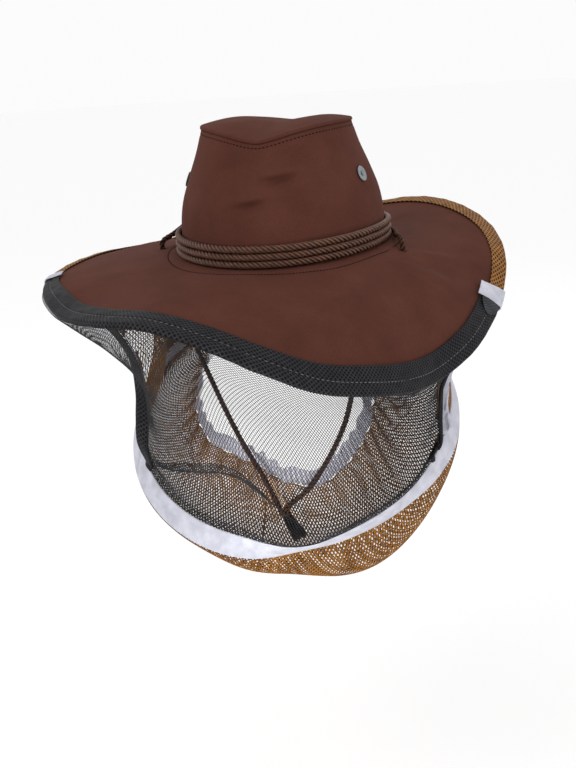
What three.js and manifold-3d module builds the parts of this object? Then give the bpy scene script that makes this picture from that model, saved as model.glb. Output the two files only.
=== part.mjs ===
// Beekeeper hat: a cloth hat with a see-through veil that hangs from the brim to a flat hoop,
// a net skirt that closes on the neck, a hatband of three cords and a chin cord with a tassel.
// Millimetres. The origin is the middle of the head opening at the foot of the crown.
// +Z runs up through the crown, -Y is the front and +X is the wearer's left.
import * as THREE from 'three';
import Module from 'manifold-3d';

const wasm = await Module();
wasm.setup();

// Driving sizes
const gap = 0.3;
const clothThickness = 2;
const netThickness = 1;
const aroundSteps = 64;

const crown = {
  halfWidth: 86,
  halfLength: 102,
  tipHalfWidth: 62.5,
  tipHalfLength: 70.2,
  tipShift: -4.3,
  height: 102.2,
  footWave: 1.9,
  footDip: 1.4,
};

const tipDent = {
  frontDepth: 12.4,
  middleDepth: 11.5,
  backDepth: 4.5,
  shift: 4,
  width: 36,
  power: 1.6,
  dome: 10,
};

const bandCord = { diameter: 5.7, sides: 6, steps: 36 };
const chinCord = { diameter: 3.6, sides: 6, steps: 80, holeDiameter: 5.4 };
const eyelet = { flangeDiameter: 11.6, holeDiameter: 5, barrelDiameter: 7, angle: 76, height: 59 };
const frontBinding = { width: 20, thickness: 1.5 };
const rearBinding = { width: 14, thickness: 1.2 };
const tab = { width: 23, length: 14, thickness: 1 };
const hoop = { halfWidth: 146.5, halfLength: 148.6, tapeWidth: 20, tapeThickness: 2, pitch: 32.9, roll: 4.1 };
const neck = { pitch: 45, roll: 7, ruffleWidth: 19, ruffleThickness: 1.2, gathers: 30, gatherDepth: 2.6 };
const tassel = { length: 21, headDiameter: 9, locks: 10, lean: 30 };
const sideTape = { width: 12, thickness: 1, stand: 0.5, columns: 1 };
const sideTapeShort = { ...sideTape, reach: 0.75, columns: 3 };
const sideHem = { width: 10, thickness: 2.4, stand: 1.3, columns: 1 };

const hoopCentre = new THREE.Vector3(-2.7, 2.2, -155.1);
const neckCentre = new THREE.Vector3(-5, 5, -130);

// Where the two side seams leave the brim and reach the hoop, in degrees from the front
const seamAngles = { brimRight: -67.5, brimLeft: 93, hoopRight: -53, hoopLeft: 72 };

// How far the crown wall has leaned in towards the tip, by share of its height
const crownLean = [
  { share: 0, lean: 0 },
  { share: 0.22, lean: 0 },
  { share: 0.42, lean: 0.13 },
  { share: 0.62, lean: 0.42 },
  { share: 0.82, lean: 0.76 },
  { share: 1, lean: 1 },
];

// Soft creases pressed into the front of the crown
const crownCreases = [
  { angle: 17, height: 61, halfAngle: 15, halfHeight: 5, depth: 2.2 },
  { angle: 4, height: 43, halfAngle: 13, halfHeight: 5, depth: 1.8 },
  { angle: 12, height: 52, halfAngle: 22, halfHeight: 16, depth: 1.6 },
];

// Brim edge: drop below level in degrees and straight reach from the crown, by angle from the front
const brimEdgeTable = [
  { angle: -150, drop: 4.7, reach: 110 },
  { angle: -120, drop: 9, reach: 112 },
  { angle: -95, drop: 7.7, reach: 115 },
  { angle: -66, drop: 8.4, reach: 119 },
  { angle: -49, drop: 9.3, reach: 121 },
  { angle: -37, drop: 11.5, reach: 121.5 },
  { angle: -24, drop: 9.8, reach: 122 },
  { angle: -11, drop: 8.5, reach: 122 },
  { angle: 0, drop: 14, reach: 122 },
  { angle: 10, drop: 24, reach: 122.5 },
  { angle: 22, drop: 36.3, reach: 123.5 },
  { angle: 34, drop: 42.6, reach: 124 },
  { angle: 47, drop: 48.8, reach: 123.5 },
  { angle: 60, drop: 51, reach: 121.5 },
  { angle: 72, drop: 43.3, reach: 119 },
  { angle: 84, drop: 35.7, reach: 114 },
  { angle: 97, drop: 25.7, reach: 110 },
  { angle: 110, drop: 11.9, reach: 108 },
  { angle: 123, drop: 2.1, reach: 107 },
  { angle: 141, drop: -6.5, reach: 106 },
  { angle: 156, drop: -8.2, reach: 107 },
  { angle: 175, drop: -3, reach: 108 },
];

// Hoop tape round the hoop: a lean of 90 stands straight, less flares its lower edge outward,
// and the rise lifts it off the plane of the hoop
const hoopTable = [
  { angle: -150, lean: 80, rise: 0 },
  { angle: -110, lean: 70, rise: 0 },
  { angle: -75, lean: 60, rise: 0 },
  { angle: -50, lean: 50, rise: 0 },
  { angle: -30, lean: 45, rise: 0 },
  { angle: -12, lean: 47, rise: 0 },
  { angle: -3, lean: 57, rise: 0 },
  { angle: 5, lean: 84, rise: 0 },
  { angle: 12, lean: 106, rise: 0.5 },
  { angle: 20, lean: 115, rise: 2 },
  { angle: 28, lean: 109, rise: 4.2 },
  { angle: 39, lean: 100, rise: 6.3 },
  { angle: 57, lean: 91, rise: 6.2 },
  { angle: 71, lean: 73, rise: 4.2 },
  { angle: 84, lean: 61, rise: 2 },
  { angle: 96, lean: 69, rise: 0.5 },
  { angle: 115, lean: 80, rise: 0 },
  { angle: 160, lean: 82, rise: 0 },
];

// Radius of the neck edge in its own plane, by angle from its front
const neckRadiusTable = [
  { angle: -140, radius: 78 },
  { angle: -90, radius: 84 },
  { angle: -43, radius: 90 },
  { angle: -20, radius: 84 },
  { angle: -3, radius: 87 },
  { angle: 13, radius: 98 },
  { angle: 28, radius: 104 },
  { angle: 50, radius: 94 },
  { angle: 68, radius: 86 },
  { angle: 88, radius: 78 },
  { angle: 140, radius: 78 },
];

// How deep the skirt pouches below the hoop and out past it, by angle from the front
const pouchTable = [
  { angle: -150, down: 8, out: 0 },
  { angle: -80, down: 5, out: -8 },
  { angle: -45, down: 5, out: -9 },
  { angle: -20, down: 11, out: -7 },
  { angle: -5, down: 24, out: -2 },
  { angle: 8, down: 37, out: 2 },
  { angle: 22, down: 51, out: 6 },
  { angle: 40, down: 62, out: 8 },
  { angle: 57, down: 60, out: 5 },
  { angle: 75, down: 42, out: -1 },
  { angle: 92, down: 22, out: -4 },
  { angle: 120, down: 12, out: -1 },
];

// Side seams from brim to hoop, by share of the way down
const rightSeamTable = [
  { share: 0.13, x: -172, y: -85, z: -29 },
  { share: 0.25, x: -149, y: -85, z: -40 },
  { share: 0.37, x: -127, y: -85, z: -57 },
  { share: 0.49, x: -112, y: -84, z: -84 },
  { share: 0.6, x: -109, y: -83, z: -112 },
  { share: 0.73, x: -110, y: -83, z: -136 },
  { share: 0.86, x: -113, y: -83, z: -160 },
];
const leftSeamTable = [
  { share: 0.16, x: 159, y: 8, z: -78 },
  { share: 0.3, x: 144, y: -1, z: -100 },
  { share: 0.45, x: 134, y: -10, z: -121 },
  { share: 0.62, x: 133, y: -19, z: -144 },
  { share: 0.8, x: 135, y: -28, z: -166 },
];

// How far the white seam tapes stand off the veil, in degrees, by share of the way down
const tapeFlareTable = [
  { share: 0, right: 4, left: 0 },
  { share: 0.2, right: 4, left: 6 },
  { share: 0.4, right: 24, left: 52 },
  { share: 0.62, right: 6, left: 14 },
  { share: 0.8, right: 26, left: 46 },
  { share: 1, right: 12, left: 34 },
];

const { degToRad, lerp } = THREE.MathUtils;

// Smooth reading of a table between its rows
function hermite(before, start, end, after, key, column, shift, at) {
  const x0 = before[key] + shift[0];
  const x1 = start[key] + shift[1];
  const x2 = end[key] + shift[2];
  const x3 = after[key] + shift[3];
  const span = x2 - x1;
  const t = (at - x1) / span;
  const slope1 = x2 === x0 ? 0 : ((end[column] - before[column]) / (x2 - x0)) * span;
  const slope2 = x3 === x1 ? 0 : ((after[column] - start[column]) / (x3 - x1)) * span;
  const t2 = t * t;
  const t3 = t2 * t;
  return (
    (2 * t3 - 3 * t2 + 1) * start[column] +
    (t3 - 2 * t2 + t) * slope1 +
    (3 * t2 - 2 * t3) * end[column] +
    (t3 - t2) * slope2
  );
}

function readRound(table, column, degrees) {
  const count = table.length;
  const first = table[0].angle;
  const at = first + (((degrees - first) % 360) + 360) % 360;
  let row = count - 1;
  while (table[row].angle > at) row -= 1;
  const next = row + 1;
  const shift = [row - 1 < 0 ? -360 : 0, 0, next >= count ? 360 : 0, row + 2 >= count ? 360 : 0];
  const rows = [table[(row - 1 + count) % count], table[row], table[next % count], table[(row + 2) % count]];
  return hermite(...rows, 'angle', column, shift, at);
}

function readAlong(table, column, share) {
  const last = table.length - 1;
  let row = 0;
  while (row < last - 1 && table[row + 1].share <= share) row += 1;
  const before = table[Math.max(row - 1, 0)];
  const after = table[Math.min(row + 2, last)];
  return hermite(before, table[row], table[row + 1], after, 'share', column, [0, 0, 0, 0], share);
}

// Crown and tip
function wrapDegrees(degrees) {
  return ((((degrees + 180) % 360) + 360) % 360) - 180;
}

function footHeight(degrees) {
  return -crown.footDip - crown.footWave * Math.cos(2 * degToRad(degrees));
}

function footNormal(degrees) {
  const angle = degToRad(degrees);
  const x = Math.sin(angle) / crown.halfWidth;
  const y = -Math.cos(angle) / crown.halfLength;
  return new THREE.Vector3(x, y, 0).normalize();
}

function footPoint(degrees, out, up) {
  const angle = degToRad(degrees);
  const x = crown.halfWidth * Math.sin(angle);
  const y = -crown.halfLength * Math.cos(angle);
  const point = new THREE.Vector3(x, y, footHeight(degrees) + up);
  return point.addScaledVector(footNormal(degrees), out);
}

function tipHeight(x, y) {
  const share = (y - crown.tipShift) / crown.tipHalfLength;
  const ends = share < 0 ? tipDent.frontDepth : tipDent.backDepth;
  const depth = lerp(tipDent.middleDepth, ends, share * share);
  const across = Math.abs(x - tipDent.shift) / tipDent.width;
  return crown.height - depth * Math.exp(-(across ** tipDent.power));
}

function wallPoint(degrees, share, inset) {
  const angle = degToRad(degrees);
  const lean = readAlong(crownLean, 'lean', share);
  const halfWidth = lerp(crown.halfWidth, crown.tipHalfWidth, lean) - inset;
  const halfLength = lerp(crown.halfLength, crown.tipHalfLength, lean) - inset;
  const rimX = (crown.tipHalfWidth - inset) * Math.sin(angle);
  const rimY = crown.tipShift - (crown.tipHalfLength - inset) * Math.cos(angle);
  const z = lerp(footHeight(degrees), tipHeight(rimX, rimY), share);
  let press = 0;
  for (const crease of crownCreases) {
    const across = wrapDegrees(degrees - crease.angle) / crease.halfAngle;
    const along = (z - crease.height) / crease.halfHeight;
    press += crease.depth * Math.exp(-across * across - along * along);
  }
  const x = (halfWidth - press) * Math.sin(angle);
  const y = crown.tipShift * lean - (halfLength - press) * Math.cos(angle);
  return new THREE.Vector3(x, y, z);
}

// Brim
function brimPoint(degrees, out, lift) {
  const drop = degToRad(readRound(brimEdgeTable, 'drop', degrees));
  const reach = readRound(brimEdgeTable, 'reach', degrees);
  const share = Math.max(out, 0) / reach;
  const tilt = drop * (0.3 + 0.7 * share);
  const level = out < 0 ? out : out * Math.cos(tilt);
  const fall = out < 0 ? 0 : out * Math.sin(tilt);
  return footPoint(degrees, level, lift - fall);
}

function brimReach(degrees) {
  return readRound(brimEdgeTable, 'reach', degrees);
}

function brimFrame(degrees, out) {
  const step = 0.5;
  const outward = brimPoint(degrees, out + step, 0).sub(brimPoint(degrees, out - step, 0)).normalize();
  const along = brimPoint(degrees + step, out, 0).sub(brimPoint(degrees - step, out, 0)).normalize();
  const up = new THREE.Vector3().crossVectors(outward, along).normalize();
  return { outward, along, up };
}

// A point off the middle of the brim cloth: out from the crown, then up square to the cloth
function brimOffset(degrees, out, up) {
  const middle = -gap - clothThickness / 2;
  const base = brimPoint(degrees, out, middle);
  if (out <= 0) return base.add(new THREE.Vector3(0, 0, up));
  return base.addScaledVector(brimFrame(degrees, out).up, up);
}

// A point off the very edge of the brim: past the edge, then up square to the cloth
function edgeOffset(degrees, past, up) {
  const reach = brimReach(degrees);
  const frame = brimFrame(degrees, reach);
  const base = brimOffset(degrees, reach, 0);
  return base.addScaledVector(frame.outward, past).addScaledVector(frame.up, up);
}

// Hoop and neck planes
function planeTurn(pitch, roll) {
  const turn = new THREE.Matrix4().makeRotationY(degToRad(roll));
  return turn.multiply(new THREE.Matrix4().makeRotationX(degToRad(pitch)));
}

const hoopTurn = planeTurn(hoop.pitch, hoop.roll);
const neckTurn = planeTurn(neck.pitch, neck.roll);

function hoopTapePoint(degrees, down, out) {
  const angle = degToRad(degrees);
  const lean = degToRad(readRound(hoopTable, 'lean', degrees));
  const spoke = new THREE.Vector3(Math.sin(angle), -Math.cos(angle), 0);
  const rise = readRound(hoopTable, 'rise', degrees);
  const ring = new THREE.Vector3(hoop.halfWidth * spoke.x, hoop.halfLength * spoke.y, rise);
  const axis = new THREE.Vector3(0, 0, 1);
  const fall = spoke.clone().multiplyScalar(Math.cos(lean)).addScaledVector(axis, -Math.sin(lean));
  const face = spoke.clone().multiplyScalar(Math.sin(lean)).addScaledVector(axis, Math.cos(lean));
  ring.addScaledVector(fall, down).addScaledVector(face, out);
  return ring.applyMatrix4(hoopTurn).add(hoopCentre);
}

function neckPoint(degrees, inward, up) {
  const angle = degToRad(degrees);
  const radius = readRound(neckRadiusTable, 'radius', degrees) - inward;
  const point = new THREE.Vector3(radius * Math.sin(angle), -radius * Math.cos(angle), up);
  return point.applyMatrix4(neckTurn).add(neckCentre);
}

// Solids from bent primitives
function bend(geometry, place) {
  const position = geometry.attributes.position;
  const uv = geometry.attributes.uv;
  for (let i = 0; i < position.count; i += 1) {
    const from = new THREE.Vector3().fromBufferAttribute(position, i);
    const to = place(from, uv.getX(i), uv.getY(i));
    position.setXYZ(i, to.x, to.y, to.z);
  }
  geometry.computeVertexNormals();
  return geometry;
}

// A closed ring: place(corner, share) gives corner number and share of the way round
function ringSolid(corners, steps, place) {
  const geometry = new THREE.TorusGeometry(2, 1, corners, steps);
  return bend(geometry, (from, u, v) => place(Math.round(v * corners) % corners, u % 1));
}

// A flat sheet with an under and an upper side: side is 0 below and 1 above
function sheetSolid(across, along, place) {
  const geometry = new THREE.BoxGeometry(1, 1, 1, across, along, 1);
  return bend(geometry, (from) => place(from.x + 0.5, from.y + 0.5, from.z + 0.5));
}

// The way square out of a surface
function surfaceNormal(surface, u, v) {
  const step = 0.001;
  const a = surface(Math.min(u + step, 1), v).sub(surface(Math.max(u - step, 0), v));
  const b = surface(u, Math.min(v + step, 1)).sub(surface(u, Math.max(v - step, 0)));
  return a.cross(b).normalize();
}

// The same for a surface that closes on itself along u, and a ring with thickness on both its sides
function roundNormal(surface, u, v) {
  const step = 0.001;
  const a = surface((u + step) % 1, v).sub(surface((u - step + 1) % 1, v));
  const b = surface(u, Math.min(v + step, 1)).sub(surface(u, Math.max(v - step, 0)));
  return a.cross(b).normalize();
}

function thickRing(surface, steps, rows, thickness) {
  const last = rows.length - 1;
  return ringSolid(2 * rows.length, steps, (corner, u) => {
    const outer = corner <= last;
    const v = rows[outer ? corner : 2 * last + 1 - corner];
    const side = outer ? 0.5 : -0.5;
    return surface(u, v).addScaledVector(roundNormal(surface, u, v), side * thickness);
  });
}

// Joining and cutting of closed solids
function toSolid(geometry) {
  const position = geometry.attributes.position;
  const index = geometry.index ? Array.from(geometry.index.array) : [...Array(position.count).keys()];
  const seen = new Map();
  const points = [];
  const remap = [];
  for (let i = 0; i < position.count; i += 1) {
    const xyz = [position.getX(i), position.getY(i), position.getZ(i)];
    const key = xyz.map((value) => Math.round(value * 1e4)).join();
    if (!seen.has(key)) {
      seen.set(key, points.length / 3);
      points.push(...xyz);
    }
    remap.push(seen.get(key));
  }
  const faces = [];
  for (let i = 0; i < index.length; i += 3) {
    const [a, b, c] = [remap[index[i]], remap[index[i + 1]], remap[index[i + 2]]];
    if (a !== b && b !== c && c !== a) faces.push(a, b, c);
  }
  const mesh = new wasm.Mesh({
    numProp: 3,
    vertProperties: new Float32Array(points),
    triVerts: new Uint32Array(faces),
  });
  return new wasm.Manifold(mesh);
}

function toGeometry(solid) {
  const mesh = solid.getMesh();
  const geometry = new THREE.BufferGeometry();
  geometry.setAttribute('position', new THREE.BufferAttribute(new Float32Array(mesh.vertProperties), 3));
  geometry.setIndex(new THREE.BufferAttribute(new Uint32Array(mesh.triVerts), 1));
  geometry.computeVertexNormals();
  return geometry;
}

// A straight round pin through a point, used to cut holes
function pin(point, direction, diameter, length, sides) {
  const geometry = new THREE.CylinderGeometry(diameter / 2, diameter / 2, length, sides);
  const turn = new THREE.Quaternion().setFromUnitVectors(new THREE.Vector3(0, 1, 0), direction);
  geometry.applyQuaternion(turn);
  geometry.translate(point.x, point.y, point.z);
  return toSolid(geometry);
}

// Places on the crown and brim shared by several pieces
const holeRight = { angle: -80, out: 22 };
const holeLeft = { angle: 82, out: 22 };

function eyeletPlace(sign) {
  const degrees = sign * eyelet.angle;
  let share = 0;
  while (wallPoint(degrees, share, 0).z < eyelet.height) share += 0.005;
  const step = 0.01;
  const along = wallPoint(degrees + 1, share, 0).sub(wallPoint(degrees - 1, share, 0));
  const up = wallPoint(degrees, share + step, 0).sub(wallPoint(degrees, share - step, 0));
  const normal = along.cross(up).normalize();
  return { point: wallPoint(degrees, share, 0), normal };
}

// Crown wall, tip and brim
const wallRows = [0, 0.22, 0.42, 0.58, 0.78, 1];
const crownSteps = 40;

function crownWallGeometry() {
  const last = wallRows.length - 1;
  const wall = ringSolid(2 * wallRows.length, crownSteps, (corner, u) => {
    const outer = corner <= last;
    const share = wallRows[outer ? corner : 2 * last + 1 - corner];
    return wallPoint(u * 360, share, outer ? 0 : clothThickness);
  });
  let solid = toSolid(wall);
  for (const sign of [-1, 1]) {
    const { point, normal } = eyeletPlace(sign);
    solid = solid.subtract(pin(point, normal, eyelet.barrelDiameter + 2 * gap + 0.2, 16, 12));
  }
  return toGeometry(solid);
}

function crownTipGeometry() {
  const rings = [0, 0.4, 0.75, 1 - clothThickness / crown.tipHalfWidth, 1];
  const last = rings.length - 1;
  const geometry = new THREE.SphereGeometry(1, crownSteps, 2 * last + 1);
  return bend(geometry, (from, u, v) => {
    const row = Math.round((1 - v) * (2 * last + 1));
    const top = row <= last;
    const ring = rings[top ? row : 2 * last + 1 - row];
    const angle = Math.atan2(from.x, from.z);
    const x = ring * crown.tipHalfWidth * Math.sin(angle);
    const y = crown.tipShift - ring * crown.tipHalfLength * Math.cos(angle);
    const dome = tipDent.dome * (1 - ring * ring);
    const z = tipHeight(x, y) + dome + gap + (top ? clothThickness : 0);
    return new THREE.Vector3(x, y, z);
  });
}

function brimGeometry() {
  const inner = [-clothThickness, 0, 16];
  const outer = [21, 1];
  const middle = [0.5];
  const rowCount = inner.length + middle.length + outer.length;
  const rowAt = (row, degrees) => {
    const reach = brimReach(degrees);
    if (row < inner.length) return inner[row];
    if (row >= inner.length + middle.length) return reach - outer[row - inner.length - middle.length];
    return lerp(inner[inner.length - 1], reach - outer[0], middle[row - inner.length]);
  };
  const ring = ringSolid(2 * rowCount, aroundSteps, (corner, u) => {
    const under = corner < rowCount;
    const row = under ? corner : 2 * rowCount - 1 - corner;
    const degrees = u * 360;
    return brimOffset(degrees, rowAt(row, degrees), ((under ? -1 : 1) * clothThickness) / 2);
  });
  let solid = toSolid(ring);
  for (const hole of [holeRight, holeLeft]) {
    const point = brimOffset(hole.angle, hole.out, 0);
    solid = solid.subtract(pin(point, new THREE.Vector3(0, 0, 1), chinCord.holeDiameter, 16, 12));
  }
  return toGeometry(solid);
}

// Hatband: three cords lying one above the other round the foot of the crown
function bandCordGeometry(number) {
  const radius = bandCord.diameter / 2;
  const height = gap + radius + number * (bandCord.diameter + gap);
  return ringSolid(bandCord.sides, bandCord.steps, (corner, u) => {
    const turn = (2 * Math.PI * (corner + 0.5)) / bandCord.sides;
    const out = gap + radius + radius * Math.cos(turn);
    return footPoint(u * 360, out, height + radius * Math.sin(turn));
  });
}

function eyeletGeometry() {
  const flange = eyelet.flangeDiameter / 2;
  const bore = eyelet.holeDiameter / 2;
  const barrel = eyelet.barrelDiameter / 2;
  const seat = 0.45;
  const back = -clothThickness - 0.9;
  const profile = [
    new THREE.Vector2(bore, back - 0.7),
    new THREE.Vector2(barrel + 1.2, back - 0.7),
    new THREE.Vector2(barrel + 1.2, back),
    new THREE.Vector2(barrel, back),
    new THREE.Vector2(barrel, seat),
    new THREE.Vector2(flange, seat),
    new THREE.Vector2(flange - 1.2, seat + 1.1),
    new THREE.Vector2(bore, seat + 1.1),
    new THREE.Vector2(bore, back - 0.7),
  ];
  return new THREE.LatheGeometry(profile, 12);
}

function seatEyelet(mesh, sign) {
  const { point, normal } = eyeletPlace(sign);
  mesh.position.copy(point);
  mesh.quaternion.setFromUnitVectors(new THREE.Vector3(0, 1, 0), normal);
}

// Edge bindings and tabs folded round the brim edge: outer and inner rows of the fold
function foldRows(width, thickness, clear) {
  const near = clothThickness / 2 + clear;
  const far = near + thickness;
  const innerTip = -1 + clear;
  const outerTip = innerTip + thickness;
  const outer = [
    { past: -width, up: far },
    { past: -1, up: far },
    { past: outerTip, up: far * 0.45 },
  ];
  const inner = [
    { past: -width, up: near },
    { past: -1, up: near },
    { past: innerTip, up: clothThickness / 2 + clear / 4 },
  ];
  const mirrored = (rows) => [...rows].reverse().map(({ past, up }) => ({ past, up: -up }));
  return { outer: [...outer, ...mirrored(outer)], inner: [...inner, ...mirrored(inner)] };
}

// Angles round the brim edge: a binding steps on the corners of the brim, a tab on its own
function bindingDegrees(from, to, share) {
  const step = 360 / aroundSteps;
  const first = Math.floor(from / step + 0.01);
  const last = Math.ceil(to / step - 0.01);
  const degrees = Math.round(lerp(first, last, share)) * step;
  const trim = 0.25;
  return Math.min(Math.max(degrees, from + trim), to - trim);
}

function foldedTapeGeometry(tape, clear, steps, degreesAt) {
  const rows = foldRows(tape.width, tape.thickness, clear);
  const across = rows.outer.length - 1;
  return sheetSolid(across, steps, (u, v, side) => {
    const row = (side > 0.5 ? rows.outer : rows.inner)[Math.round(u * across)];
    const degrees = degreesAt(v);
    if (row.past > -1.5) return edgeOffset(degrees, row.past, row.up);
    return brimOffset(degrees, brimReach(degrees) + row.past, row.up);
  });
}

// Veil: each panel hangs from the binding to the hoop between the two side seams
const hemDepth = 7;
const hemShare = 0.94;

function veilTop(degrees) {
  const fromSeam = Math.min(
    Math.abs(wrapDegrees(degrees - seamAngles.brimRight)),
    Math.abs(wrapDegrees(degrees - seamAngles.brimLeft)),
  );
  const atRear = degrees > seamAngles.brimLeft + 1;
  const extra = fromSeam < 2.5 ? 2 : 0;
  return edgeOffset(degrees, 0.8 + 0.6 * extra, (atRear ? -4.1 : -3.3) - 0.8 * extra);
}

function hemTop(degrees) {
  return hoopTapePoint(degrees, -hoop.tapeWidth / 2 - gap - hemDepth, 0);
}

function veilFoot(degrees) {
  return hoopTapePoint(degrees, -hoop.tapeWidth / 2 - gap - 0.1, 0);
}

function seamCurve(table, brimDegrees, hoopDegrees) {
  const top = veilTop(brimDegrees);
  const foot = hemTop(hoopDegrees);
  const rows = [
    { share: 0, x: top.x, y: top.y, z: top.z },
    ...table,
    { share: 1, x: foot.x, y: foot.y, z: foot.z },
  ];
  return (share) => new THREE.Vector3(
    readAlong(rows, 'x', share),
    readAlong(rows, 'y', share),
    readAlong(rows, 'z', share),
  );
}

const rightSeam = seamCurve(rightSeamTable, seamAngles.brimRight, seamAngles.hoopRight);
const leftSeam = seamCurve(leftSeamTable, seamAngles.brimLeft, seamAngles.hoopLeft);

// A panel between two seams: u runs from one seam to the other and v from brim to hoop.
// The tucks draw it in towards the middle close behind its start and end seams.
function veilPanel(startSeam, endSeam, brimSpan, hoopSpan, tucks) {
  return (u, v) => {
    const hoopDegrees = lerp(hoopSpan[0], hoopSpan[1], u);
    if (v > hemShare) {
      const t = (v - hemShare) / (1 - hemShare);
      return hemTop(hoopDegrees).lerp(veilFoot(hoopDegrees), t);
    }
    const t = v / hemShare;
    const top = veilTop(lerp(brimSpan[0], brimSpan[1], u));
    const foot = hemTop(hoopDegrees);
    const point = top.multiplyScalar(1 - t).addScaledVector(foot, t);
    point.addScaledVector(startSeam(t), 1 - u).addScaledVector(endSeam(t), u);
    point.addScaledVector(startSeam(0), -(1 - u) * (1 - t));
    point.addScaledVector(endSeam(0), -u * (1 - t));
    point.addScaledVector(startSeam(1), -(1 - u) * t);
    point.addScaledVector(endSeam(1), -u * t);
    const startTuck = tucks.start * Math.min(u / tucks.reach, 1) * Math.exp(-u / tucks.reach);
    const endTuck = tucks.end * Math.min((1 - u) / tucks.reach, 1) * Math.exp((u - 1) / tucks.reach);
    const draw = (startTuck + endTuck) * Math.sin(Math.PI * t ** 0.8) * Math.E;
    const level = Math.hypot(point.x, point.y);
    point.x -= (draw * point.x) / level;
    point.y -= (draw * point.y) / level;
    return point;
  };
}

const brimRound = 360 + seamAngles.brimRight;
const hoopRound = 360 + seamAngles.hoopRight;
const frontPanel = veilPanel(
  rightSeam,
  leftSeam,
  [seamAngles.brimRight, seamAngles.brimLeft],
  [seamAngles.hoopRight, seamAngles.hoopLeft],
  { start: 0, end: 0, reach: 0.1 },
);
const backPanel = veilPanel(
  leftSeam,
  rightSeam,
  [seamAngles.brimLeft, brimRound],
  [seamAngles.hoopLeft, hoopRound],
  { start: 12, end: 22, reach: 0.09 },
);

// Share of a panel's width that lies a given distance in from one of its seams
function shareIn(panel, fromStart, distance, v) {
  const edge = fromStart ? 0 : 1;
  const near = fromStart ? 0.01 : 0.99;
  const width = panel(edge, v).distanceTo(panel(near, v)) / 0.01;
  return fromStart ? distance / width : 1 - distance / width;
}

function outwardNormal(panel, u, v) {
  const normal = surfaceNormal(panel, u, v);
  const point = panel(u, v);
  return normal.x * point.x + normal.y * point.y < 0 ? normal.negate() : normal;
}

const veilRows = [0, 0.12, 0.26, 0.42, 0.58, 0.76, hemShare, 1];

const seamClear = 0.9;
const netSteps = { front: 24, back: 26 };

// One corner of a net panel's grid: its point on the middle of the net and the way out of it
function netCorner(panel, across, column, row) {
  const start = shareIn(panel, true, seamClear, row);
  const end = shareIn(panel, false, seamClear, row);
  const share = lerp(start, end, column / across);
  const normal = outwardNormal(panel, Math.min(Math.max(share, 0.002), 0.998), row);
  return { point: panel(share, row), normal };
}

function netPanelGeometry(panel, across) {
  const along = veilRows.length - 1;
  return sheetSolid(across, along, (u, v, side) => {
    const row = veilRows[Math.round((1 - v) * along)];
    const { point, normal } = netCorner(panel, across, Math.round(u * across), row);
    return point.addScaledVector(normal, (side - 0.5) * netThickness);
  });
}

// A strip that lies on a panel beside its seam and may stand off it by a flare
const stripRows = [0.05, 0.12, 0.19, 0.26, 0.34, 0.42, 0.5, 0.58, 0.67, 0.76, 0.85, 0.94, 0.985];

function besideSeam(panel, across, fromStart, inward, row) {
  const columns = fromStart ? [0, 1] : [across, across - 1];
  const last = veilRows.findIndex((share) => share >= row);
  const [high, low] = [veilRows[last - 1], veilRows[last]];
  const down = (row - high) / (low - high);
  const cornersAt = (share) => columns.map((column) => netCorner(panel, across, column, share));
  const corners = [high, low].map(cornersAt);
  const blend = corners.map(([near, far]) => {
    const t = inward / near.point.distanceTo(far.point);
    return {
      point: near.point.clone().lerp(far.point, t),
      normal: near.normal.clone().lerp(far.normal, t),
      across: far.point.clone().sub(near.point).normalize(),
    };
  });
  const [top, foot] = blend;
  return {
    point: top.point.lerp(foot.point, down),
    normal: top.normal.lerp(foot.normal, down).normalize(),
    across: top.across.lerp(foot.across, down).normalize(),
  };
}

// The strip turns about its seam edge by the flare, and its thickness turns with it
function seamStripGeometry(panel, steps, fromStart, strip, flareColumn) {
  const along = stripRows.length - 1;
  return sheetSolid(strip.columns, along, (u, v, side) => {
    const row = stripRows[Math.round((1 - v) * along)] * (strip.reach ?? 1);
    const width = strip.width * (fromStart ? u : 1 - u);
    const flare = flareColumn ? degToRad(readAlong(tapeFlareTable, flareColumn, row)) : 0;
    const inward = 0.4 + width * Math.cos(flare);
    const { point, normal, across } = besideSeam(panel, steps, fromStart, inward, row);
    const stand = netThickness / 2 + gap + strip.stand + width * Math.sin(flare);
    const thick = side * strip.thickness;
    point.addScaledVector(normal, stand + thick * Math.cos(flare));
    return point.addScaledVector(across, -thick * Math.sin(flare));
  });
}

function hoopGeometry() {
  const half = hoop.tapeWidth / 2;
  const thick = hoop.tapeThickness / 2;
  const corners = [
    [-half, -thick],
    [half, -thick],
    [half, thick],
    [-half, thick],
  ];
  return ringSolid(corners.length, aroundSteps, (corner, u) => {
    const [down, out] = corners[corner];
    return hoopTapePoint(u * 360, down, out);
  });
}

// Neck: the skirt falls from the hoop, pouches and rises to the gathered neck edge
const ruffleLean = { inward: 7, up: Math.sqrt(neck.ruffleWidth ** 2 - 49) };

function ruffleDirection(degrees) {
  return neckPoint(degrees, ruffleLean.inward, ruffleLean.up).sub(neckPoint(degrees, 0, 0)).normalize();
}

function skirtPoint(u, v) {
  const degrees = u * 360;
  const angle = degToRad(degrees);
  const down = readRound(pouchTable, 'down', degrees);
  const out = readRound(pouchTable, 'out', degrees);
  const start = hoopTapePoint(degrees, hoop.tapeWidth / 2 + gap + 0.5, 0);
  const fall = hoopTapePoint(degrees, 20, 0).sub(hoopTapePoint(degrees, 10, 0)).normalize();
  const rise = ruffleDirection(degrees);
  const end = neckPoint(degrees, 0, 0).addScaledVector(rise, -gap - 0.2);
  const sag = new THREE.Vector3(out * Math.sin(angle), -out * Math.cos(angle), -down);
  const first = start.clone().addScaledVector(fall, 7).addScaledVector(sag, 1.35);
  const second = end.clone().addScaledVector(rise, -18).addScaledVector(sag, 0.45);
  return new THREE.CubicBezierCurve3(start, first, second, end).getPoint(v);
}

const skirtRows = [0, 0.12, 0.3, 0.52, 0.78, 1];

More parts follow.
